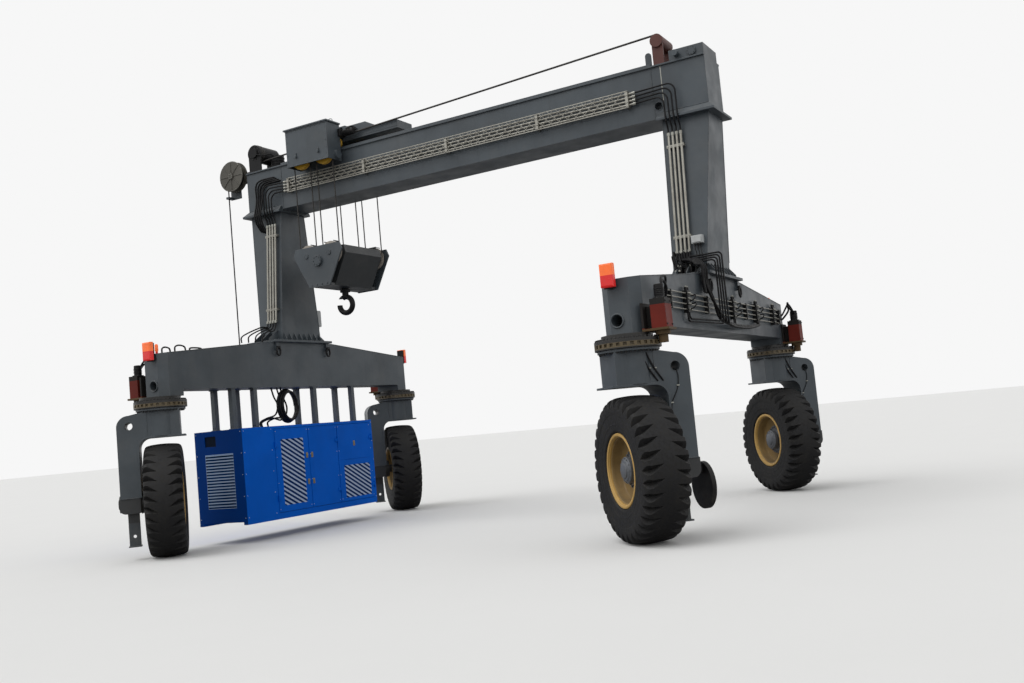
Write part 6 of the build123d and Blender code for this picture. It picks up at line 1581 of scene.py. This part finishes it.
@dataclass
class BlockTrim:
    """Cheek bolts and rope guards of the hook block."""

    centre: float = TROLLEY_X
    sheave_height: float = BLOCK_SHEAVES
    sheave_reach: float = 0.265
    cheek: float = 0.730
    boss_height: float = 4.940
    low_bolts: float = 4.505
    guard_height: float = 5.262
    guard_reach: float = 0.105

    def bolts(self) -> Patch:
        """Bolts round the bosses, the pin caps and along the cheeks' lower edges."""
        patches = []
        for face in (-1, 1):
            way = (0, face, 0)
            boss = (self.centre, face * (self.cheek + 0.040), self.boss_height)
            patches.append(studs(loop_path(boss, Axis.Y, 0.078, 8), way, 0.010, 0.012))
            for x in (self.centre - self.sheave_reach, self.centre + self.sheave_reach):
                pin = (x, face * (self.cheek + 0.014), self.sheave_height)
                patches.append(studs(loop_path(pin, Axis.Y, 0.034, 4), way, 0.006, 0.007))
            low = [(self.centre + x, face * self.cheek, self.low_bolts) for x in np.linspace(-0.18, 0.18, 4)]
            patches.append(studs(low, way, 0.013, 0.014))
        return join(patches)

    def rope_guards(self) -> Patch:
        """Round bars over the sheaves that keep the ropes in their grooves, each pair on a plate."""
        patches = []
        for face in (-1, 1):
            for x in (self.centre - self.sheave_reach, self.centre + self.sheave_reach):
                for bar in (x - self.guard_reach, x + self.guard_reach):
                    ends = [(bar, face * y, self.guard_height) for y in (0.552, 0.700)]
                    patches.append(tube(straight(*ends, 0.05), 0.009))
                patches.append(boxes([(x, face * 0.552, 5.221)], (0.125, 0.004, 0.051)))
        return join(patches)

    def pieces(self) -> Iterator[Piece]:
        """Trim that rides on the block."""
        yield Piece("block_bolts", self.bolts(), Coat.GREY, "block")
        yield Piece("rope_guards", self.rope_guards(), Coat.DARK, "block", smooth=50.0)


@dataclass
class RopeTrim:
    """Falls of the hoist rope between the trolley's sheaves and the block's."""

    centre: float = TROLLEY_X
    offsets: tuple[float, ...] = (-0.453, -0.077, 0.077, 0.453)
    lane: float = 0.640
    top: float = 6.925
    foot: float = BLOCK_SHEAVES
    radius: float = 0.011

    def falls(self) -> Patch:
        """Straight tubes with rings at their two ends only."""
        places = [(self.centre + offset, face * self.lane) for face in (-1, 1) for offset in self.offsets]
        return join([tube([(x, y, self.top), (x, y, self.foot)], self.radius, 14) for x, y in places])

    def pieces(self) -> Iterator[Piece]:
        """Falls that hang between trolley and block."""
        yield Piece("rope_falls", self.falls(), Coat.ROPE, None, smooth=50.0, stands_for=("hoist_ropes",),
                    between=("trolley", "block", self.top, self.foot))


@dataclass
class ReelTrim:
    """Cable turns on the reel, its face bolts and its flanges' rolled edges."""

    centre: tuple[float, float, float] = (-5.080, -0.400, 7.030)
    core: float = 0.150
    flange: float = 0.300
    width: float = 0.150
    cable_radius: float = 0.012

    def turns(self) -> Patch:
        """Wound cable between the flanges, as a ring whose ridges are cable * |sin(pi x / pitch)| ** 0.5."""
        inset = 0.0135
        x = np.linspace(inset, self.width - inset, 61)
        ridge = self.core + 0.050 + self.cable_radius * np.abs(np.sin((x - x[0]) / 0.0241 * math.pi)) ** 0.5
        foot = self.core + 0.001
        return lathe([(inset, foot), *zip(x, ridge), (self.width - inset, foot)], 64)

    def bolts(self) -> Patch:
        """Bolts round the boss and near the rim of the front flange."""
        near = loop_path((-0.024, 0.0, 0.0), Axis.X, 0.046, 6)
        rim = loop_path((0.0, 0.0, 0.0), Axis.X, 0.285, 16)
        return join([studs(near, (-1, 0, 0), 0.007, 0.007), studs(rim, (-1, 0, 0), 0.007, 0.006)])

    def rim_beads(self) -> Patch:
        """Rolled edges of both flanges."""
        return join([hoop((x, 0.0, 0.0), Axis.X, self.flange - 0.004, 0.0075, 64) for x in (0.006, self.width - 0.006)])

    def pieces(self) -> Iterator[Piece]:
        """Trim that turns with the reel."""
        place = Matrix.Translation(self.centre) @ ACROSS
        yield Piece("cable_turns", self.turns().moved(place), Coat.HOSE, "reel", smooth=60.0)
        yield Piece("reel_bolts", self.bolts().moved(place), Coat.GALVANISED, "reel")
        yield Piece("reel_rims", self.rim_beads().moved(place), Coat.REEL, "reel", smooth=50.0)


@dataclass
class HaulTrim:
    """Rope turns on the haul drum, bolts on the drum and the tail roller, and a hose at the tank."""

    drum: tuple[float, float, float] = (-4.480, 0.0, 7.380)
    drum_face: float = -0.351
    foot_bolts: float = 7.070
    foot_places: tuple[float, ...] = (-4.60, -4.02, -3.89)
    cover: tuple[float, float, float] = (4.518, -0.380, 7.095)
    hose_route: tuple[Point, ...] = (
        (-4.135, -0.17, 7.28), (-4.16, -0.25, 7.32), (-4.25, -0.33, 7.30), (-4.36, -0.37, 7.32), (-4.43, -0.372, 7.36),
    )

    def rope_turns(self) -> Patch:
        """Rope wound on the drum, as a ring whose ridges are rope * |sin(pi x / pitch)| ** 0.5."""
        x = np.linspace(-0.300, -0.215, 49)
        ridge = 0.167 + 0.0042 * np.abs(np.sin((x - x[0]) / 0.017 * math.pi)) ** 0.5
        profile = [(-0.318, 0.1655), *zip(x, ridge), (-0.214, 0.1655)]
        return lathe(profile, 56, False).moved(Matrix.Translation(self.drum) @ ACROSS)

    def bolts(self) -> Patch:
        """Bolts round the drum's end cap, on its base and round the roller's cover."""
        x, _, z = self.drum
        feet = [(foot, y, self.foot_bolts) for foot in self.foot_places for y in (-0.165, 0.155)]
        return join([studs(loop_path((x, self.drum_face, z), Axis.Y, 0.125, 10), (0, -1, 0), 0.010, 0.010),
                     studs(feet, (0, 0, 1), 0.012, 0.014),
                     studs(loop_path(self.cover, Axis.Y, 0.058, 8), (0, -1, 0), 0.007, 0.007)])

    def pieces(self) -> Iterator[Piece]:
        """Trim of the haul gear."""
        yield Piece("drum_rope", self.rope_turns(), Coat.ROPE, smooth=60.0)
        yield Piece("haul_bolts", self.bolts(), Coat.DARK)
        yield Piece("haul_hoses", hose(self.hose_route, 0.012), Coat.HOSE, smooth=60.0)


@dataclass
class PackTrim:
    """Rivets, handles, hanger plates and hoses of the power pack."""

    centre: float = -HALF_SPAN
    half: float = 0.570
    front: float = -2.090
    front_post: float = -1.360
    back: float = 1.600
    bottom: float = 0.380
    top: float = 2.000
    beam_bottom: float = 2.730
    doors: tuple[tuple[str, float, float, tuple[tuple[float, float], ...]], ...] = (
        ("front", -1.290, -0.375, ((-0.445, 1.42), (-0.445, 0.93))),
        ("middle", -0.375, 0.470, ((-0.300, 1.42), (-0.300, 0.93))),
        ("rear", 0.470, 1.540, ((0.980, 1.56),)),
    )
    hanger_places: tuple[float, ...] = (-1.900, -1.350, 0.300, 1.480)
    hanger_offset: float = 0.215
    coil_centre: tuple[float, float] = (-0.42, 2.375)
    coil_radii: tuple[float, float] = (0.255, 0.315)
    feeds: tuple[float, ...] = (-0.95, -0.85, -1.10)

    @property
    def face(self) -> float:
        """Place of the doors' side."""
        return self.centre + self.half

    def casing_rivets(self) -> Patch:
        """Rivets round the fixed panels of the front end, side and back."""
        rows = [((x, y), (0, way, 0)) for y, way in ((self.front, -1), (self.back, 1))
                for x in (self.centre - 0.53, self.face - 0.04)]
        rows += [((x, y), (way, 0, 0)) for x, way in ((self.face, 1), (self.centre - self.half, -1))
                 for y in (self.front + 0.04, self.front_post, self.back - 0.025)]
        heights = np.linspace(self.bottom + 0.07, self.top - 0.05, 5)
        return join([studs([(x, y, z) for z in heights], way, 0.0065, 0.004, 8) for (x, y), way in rows])

    def door_rivets(self, front: float, rear: float) -> Patch:
        """Rivets round one door leaf."""
        places = [(self.face + 0.006, y, z) for y in (front + 0.036, rear - 0.036) for z in np.linspace(0.50, 1.90, 4)]
        return studs(places, (1, 0, 0), 0.006, 0.003, 8)

    def handles(self, places: tuple[tuple[float, float], ...]) -> Patch:
        """Flat pulls with their keepers on a door."""
        pulls = []
        for y, z in places:
            pulls.append(boxes([(self.face + 0.0105, y, z)], (0.0055, 0.024, 0.050)))
            pulls.append(boxes([(self.face + 0.022, y, z)], (0.006, 0.010, 0.034)))
        return join(pulls)

    def hangers(self) -> list[tuple[float, float]]:
        """Places of the hangers, front to back."""
        return [(self.centre + side * self.hanger_offset, y) for y in self.hanger_places for side in (-1, 1)]

    def hanger_bolts(self) -> Patch:
        """Bolts at the hangers' feet and heads."""
        places = [(x + dx, y - 0.045, z) for x, y in self.hangers() for dx in (-0.026, 0.026)
                  for z in (self.top + 0.045, self.beam_bottom - 0.040)]
        return studs(places, (0, -1, 0), 0.009, 0.010)

    def hanger_plates(self) -> Patch:
        """Foot and head plates of the hangers."""
        centres = [(x, y, z) for x, y in self.hangers() for z in (self.top + 0.007, self.beam_bottom - 0.007)]
        return boxes(centres, (0.054, 0.070, 0.007))

    def coil(self) -> Patch:
        """Thick hose in three upright turns, at (radius - 0.01 t / pi) * (cos t, sin t), between the hangers."""
        turn = np.linspace(0.0, 6 * math.pi, 150)
        shrink = 0.010 * turn / math.pi
        y = self.coil_centre[0] + (self.coil_radii[0] - shrink) * np.cos(turn)
        z = self.coil_centre[1] + (self.coil_radii[1] - shrink) * np.sin(turn)
        x = self.centre + 0.130 + 0.022 * turn / math.pi
        return tube(np.stack([x, y, z], axis=1), 0.026, 10)

    def feed_hoses(self) -> Patch:
        """Hoses from the pack's lid up to the beam's underside."""
        c, lid = self.centre, self.top
        return join([hose([
            (c + 0.05 * i, y, lid), (c + 0.05 * i, y, lid + 0.10), (c + 0.16, y + 0.10, lid + 0.16),
            (c + 0.20, y + 0.30, lid + 0.12 + 0.05 * i), (c + 0.16, y + 0.42, lid + 0.30 + 0.05 * i),
            (c + 0.10, y + 0.40, lid + 0.56), (c + 0.08, y + 0.36, self.beam_bottom + 0.005),
        ], 0.016) for i, y in enumerate(self.feeds)])

    def pieces(self) -> Iterator[Piece]:
        """Trim of the casing and the doors."""
        yield Piece("pack_rivets", self.casing_rivets(), Coat.RIVET)
        yield Piece("hanger_plates", self.hanger_plates(), Coat.GREY, bevel=0.002)
        yield Piece("hanger_bolts", self.hanger_bolts(), Coat.DARK)
        yield Piece("hose_coil", self.coil(), Coat.HOSE, smooth=60.0)
        yield Piece("pack_hoses", self.feed_hoses(), Coat.HOSE, smooth=60.0)
        for name, front, rear, places in self.doors:
            yield Piece("door_rivets_" + name, self.door_rivets(front, rear), Coat.RIVET, "door_" + name)
            yield Piece("door_handles_" + name, self.handles(places), Coat.BRASS, "door_" + name, bevel=0.003)


@dataclass
class DriveTrim:
    """Bolts, caps and hoses of the steering drives, with the thin pipes' clamps and valves."""

    offset: float = 0.490
    case_top: float = 3.020
    motor_top: float = 3.200
    pipe_heights: tuple[float, ...] = (2.985, 3.060, 3.135, 3.210)
    pipe_starts: tuple[float, float] = (-2.652, 3.082)
    clamp_places: tuple[float, ...] = (-2.45, -0.95, 0.98, 2.95)
    valve_places: tuple[float, ...] = (-1.800, 0.300, 1.550, 2.600)
    valve_face: float = 4.563
    valve_top: float = 3.296

    def drives(self) -> list[tuple[int, int, float, float]]:
        """Sides and place of every drive."""
        out = HALF_SPAN + self.offset
        return [(side_x, side_y, side_x * out, side_y * HALF_BASE) for _, side_x, side_y in CORNERS]

    def bolts(self) -> Patch:
        """Bolts round each motor's foot and on the gearboxes' sides."""
        patches = []
        for side_x, _, x, y in self.drives():
            patches.append(studs(loop_path((x, y, self.case_top), Axis.Z, 0.084, 8), (0, 0, 1), 0.010, 0.016))
            grid = [(x + side_x * 0.100, y + dy, z) for dy in (-0.085, 0.085) for z in (2.69, 2.98)]
            patches.append(studs(grid, (side_x, 0, 0), 0.011, 0.012))
        return join(patches)

    def motor_caps(self) -> Patch:
        """Ribbed motor housings over the gearboxes."""
        ribbed = [(0.0, 0.062), (0.0, 0.090), (0.014, 0.090), (0.016, 0.064)]
        for z in (0.045, 0.070, 0.095, 0.120):
            ribbed += [(z, 0.062), (z + 0.002, 0.070), (z + 0.010, 0.070), (z + 0.012, 0.062)]
        ribbed += [(0.165, 0.062), (0.182, 0.058), (0.186, 0.040), (0.187, 0.0001)]
        cap = lathe(ribbed, 28, False)
        return join([cap.moved(Matrix.Translation((x, y, self.case_top)) @ UPRIGHT) for _, _, x, y in self.drives()])

    def hoses(self) -> Patch:
        """Two hoses to every steering motor, from the pipes on the right and from the beam on the left."""
        patches = []
        for side_x, side_y, x, y in self.drives():
            for i in range(2):
                start = (BEAM_PIPE_X, self.pipe_starts[side_y > 0], self.pipe_heights[i + 1])
                if side_x < 0:
                    start = (side_x * (HALF_SPAN + 0.272), side_y * (2.76 + 0.10 * i), 3.16)
                reach = abs(y - start[1])
                patches.append(hose([
                    start, (start[0] + side_x * 0.02, start[1] + side_y * 0.06, start[2] + 0.01),
                    (x - side_x * 0.05, start[1] + side_y * reach * 0.38, start[2] + 0.14 + 0.05 * i),
                    (x - side_x * 0.03, y - side_y * 0.24, self.motor_top + 0.08 + 0.05 * i),
                    (x - side_x * 0.01, y - side_y * 0.13, self.motor_top + 0.02 + 0.05 * i),
                    (x + side_x * 0.03 * i, y - side_y * 0.060, self.motor_top - 0.055),
                ], 0.0165))
        return join(patches)

    def pipe_clamps(self) -> Patch:
        """Stacked clamps that hold the thin pipes off the right beam."""
        inner, outer = HALF_SPAN + 0.270, BEAM_PIPE_X + 0.016
        return join([box(inner, outer, y - 0.016, y + 0.016, 2.968, 3.228) for y in self.clamp_places])

    def clamp_bolts(self) -> Patch:
        """One bolt between each pair of pipes on every clamp."""
        between = [(low + high) / 2 for low, high in zip(self.pipe_heights, self.pipe_heights[1:])]
        return studs([(BEAM_PIPE_X + 0.016, y, z) for y in self.clamp_places for z in between], (1, 0, 0), 0.007, 0.008)

    def valve_fittings(self) -> Patch:
        """Hexagon fittings on the faces and caps of the valve blocks."""
        faces = [(self.valve_face, y + dy, z) for y in self.valve_places for z in self.pipe_heights
                 for dy in (-0.028, 0.028)]
        caps = [(BEAM_PIPE_X, y + dy, self.valve_top) for y in self.valve_places for dy in (-0.030, 0.030)]
        return join([studs(faces, (1, 0, 0), 0.015, 0.022), studs(caps, (0, 0, 1), 0.013, 0.020)])

    def valve_hoses(self) -> Patch:
        """Short loops between neighbouring fittings of the valve blocks."""
        x = self.valve_face + 0.020
        return join([hose([
            (x, y - 0.028, z - 0.025), (x + 0.057, y - 0.045, z - 0.01), (x + 0.077, y - 0.01, z + 0.03),
            (x + 0.057, y + 0.035, z + 0.06), (x, y + 0.028, z + 0.05),
        ], 0.010, 6) for y in self.valve_places for z in (3.010, 3.120)])

    def pieces(self) -> Iterator[Piece]:
        """Trim of the drives and the thin pipes."""
        yield Piece("steering_bolts", self.bolts(), Coat.DARK)
        yield Piece("steering_motors", self.motor_caps(), Coat.BLACK, smooth=35.0)
        yield Piece("steering_hoses", self.hoses(), Coat.HOSE, smooth=60.0)
        yield Piece("pipe_clamps", self.pipe_clamps(), Coat.BLACK, bevel=0.003)
        yield Piece("pipe_clamp_bolts", self.clamp_bolts(), Coat.GALVANISED)
        yield Piece("valve_fittings", self.valve_fittings(), Coat.GALVANISED)
        yield Piece("valve_hoses", self.valve_hoses(), Coat.HOSE, smooth=60.0)


@dataclass
class BoxTrim:
    """Lids and cable glands of the two boxes on the legs, and the right box's cables."""

    left_lid: tuple[float, ...] = (-4.148, -3.972, 0.668, 0.676, 3.94, 4.22)
    right_lid: tuple[float, ...] = (4.292, 4.438, -0.636, -0.628, 4.094, 4.186)
    left_glands: tuple[float, ...] = (-4.11, -4.06, -4.01)
    right_glands: tuple[float, ...] = (4.32, 4.37, 4.41)

    def glands(self) -> Patch:
        """Cable glands under the boxes."""
        places = [(x, 0.60, 3.922) for x in self.left_glands] + [(x, -0.58, 4.082) for x in self.right_glands]
        return studs(places, (0, 0, -1), 0.014, 0.028)

    def cables(self) -> Patch:
        """Thin cables from the right box down over the leg's foot."""
        return join([hose([
            (x, -0.58, 4.056), (x, -0.583, 4.00), (x + 0.02, -0.60 - 0.01 * i, 3.92),
            (x - 0.01 + 0.02 * i, -0.62, 3.83), (x + 0.03, -0.70, 3.78), (x + 0.06, -0.81, 3.72),
            (x + 0.05, -0.845, 3.60), (x + 0.02, -0.85, 3.585),
        ], 0.008, 6) for i, x in enumerate(self.right_glands)])

    def pieces(self) -> Iterator[Piece]:
        """Trim of both boxes."""
        yield Piece("box_lids", join([box(*self.left_lid), box(*self.right_lid)]), Coat.PLASTIC, bevel=0.003)
        yield Piece("box_glands", self.glands(), Coat.BLACK)
        yield Piece("box_cables", self.cables(), Coat.HOSE, smooth=60.0)


# In the order in which they are built
ASSEMBLIES = (
    Tyre, Wheel, ForkTrim, SlewTrim, BeamTrim, LegTrim, GirderTrim, TrolleyTrim, BlockTrim, RopeTrim, ReelTrim,
    HaulTrim, PackTrim, DriveTrim, BoxTrim,
)


def main() -> None:
    """Builds the looks piece by piece."""
    logging.basicConfig(level=logging.INFO, format="%(message)s")
    finishes = Finishes()
    finishes.dress_frame()
    Studio().build()
    for assembly in ASSEMBLIES:
        for piece in assembly().pieces():
            piece.build(finishes)


if __name__ == "__main__":
    main()
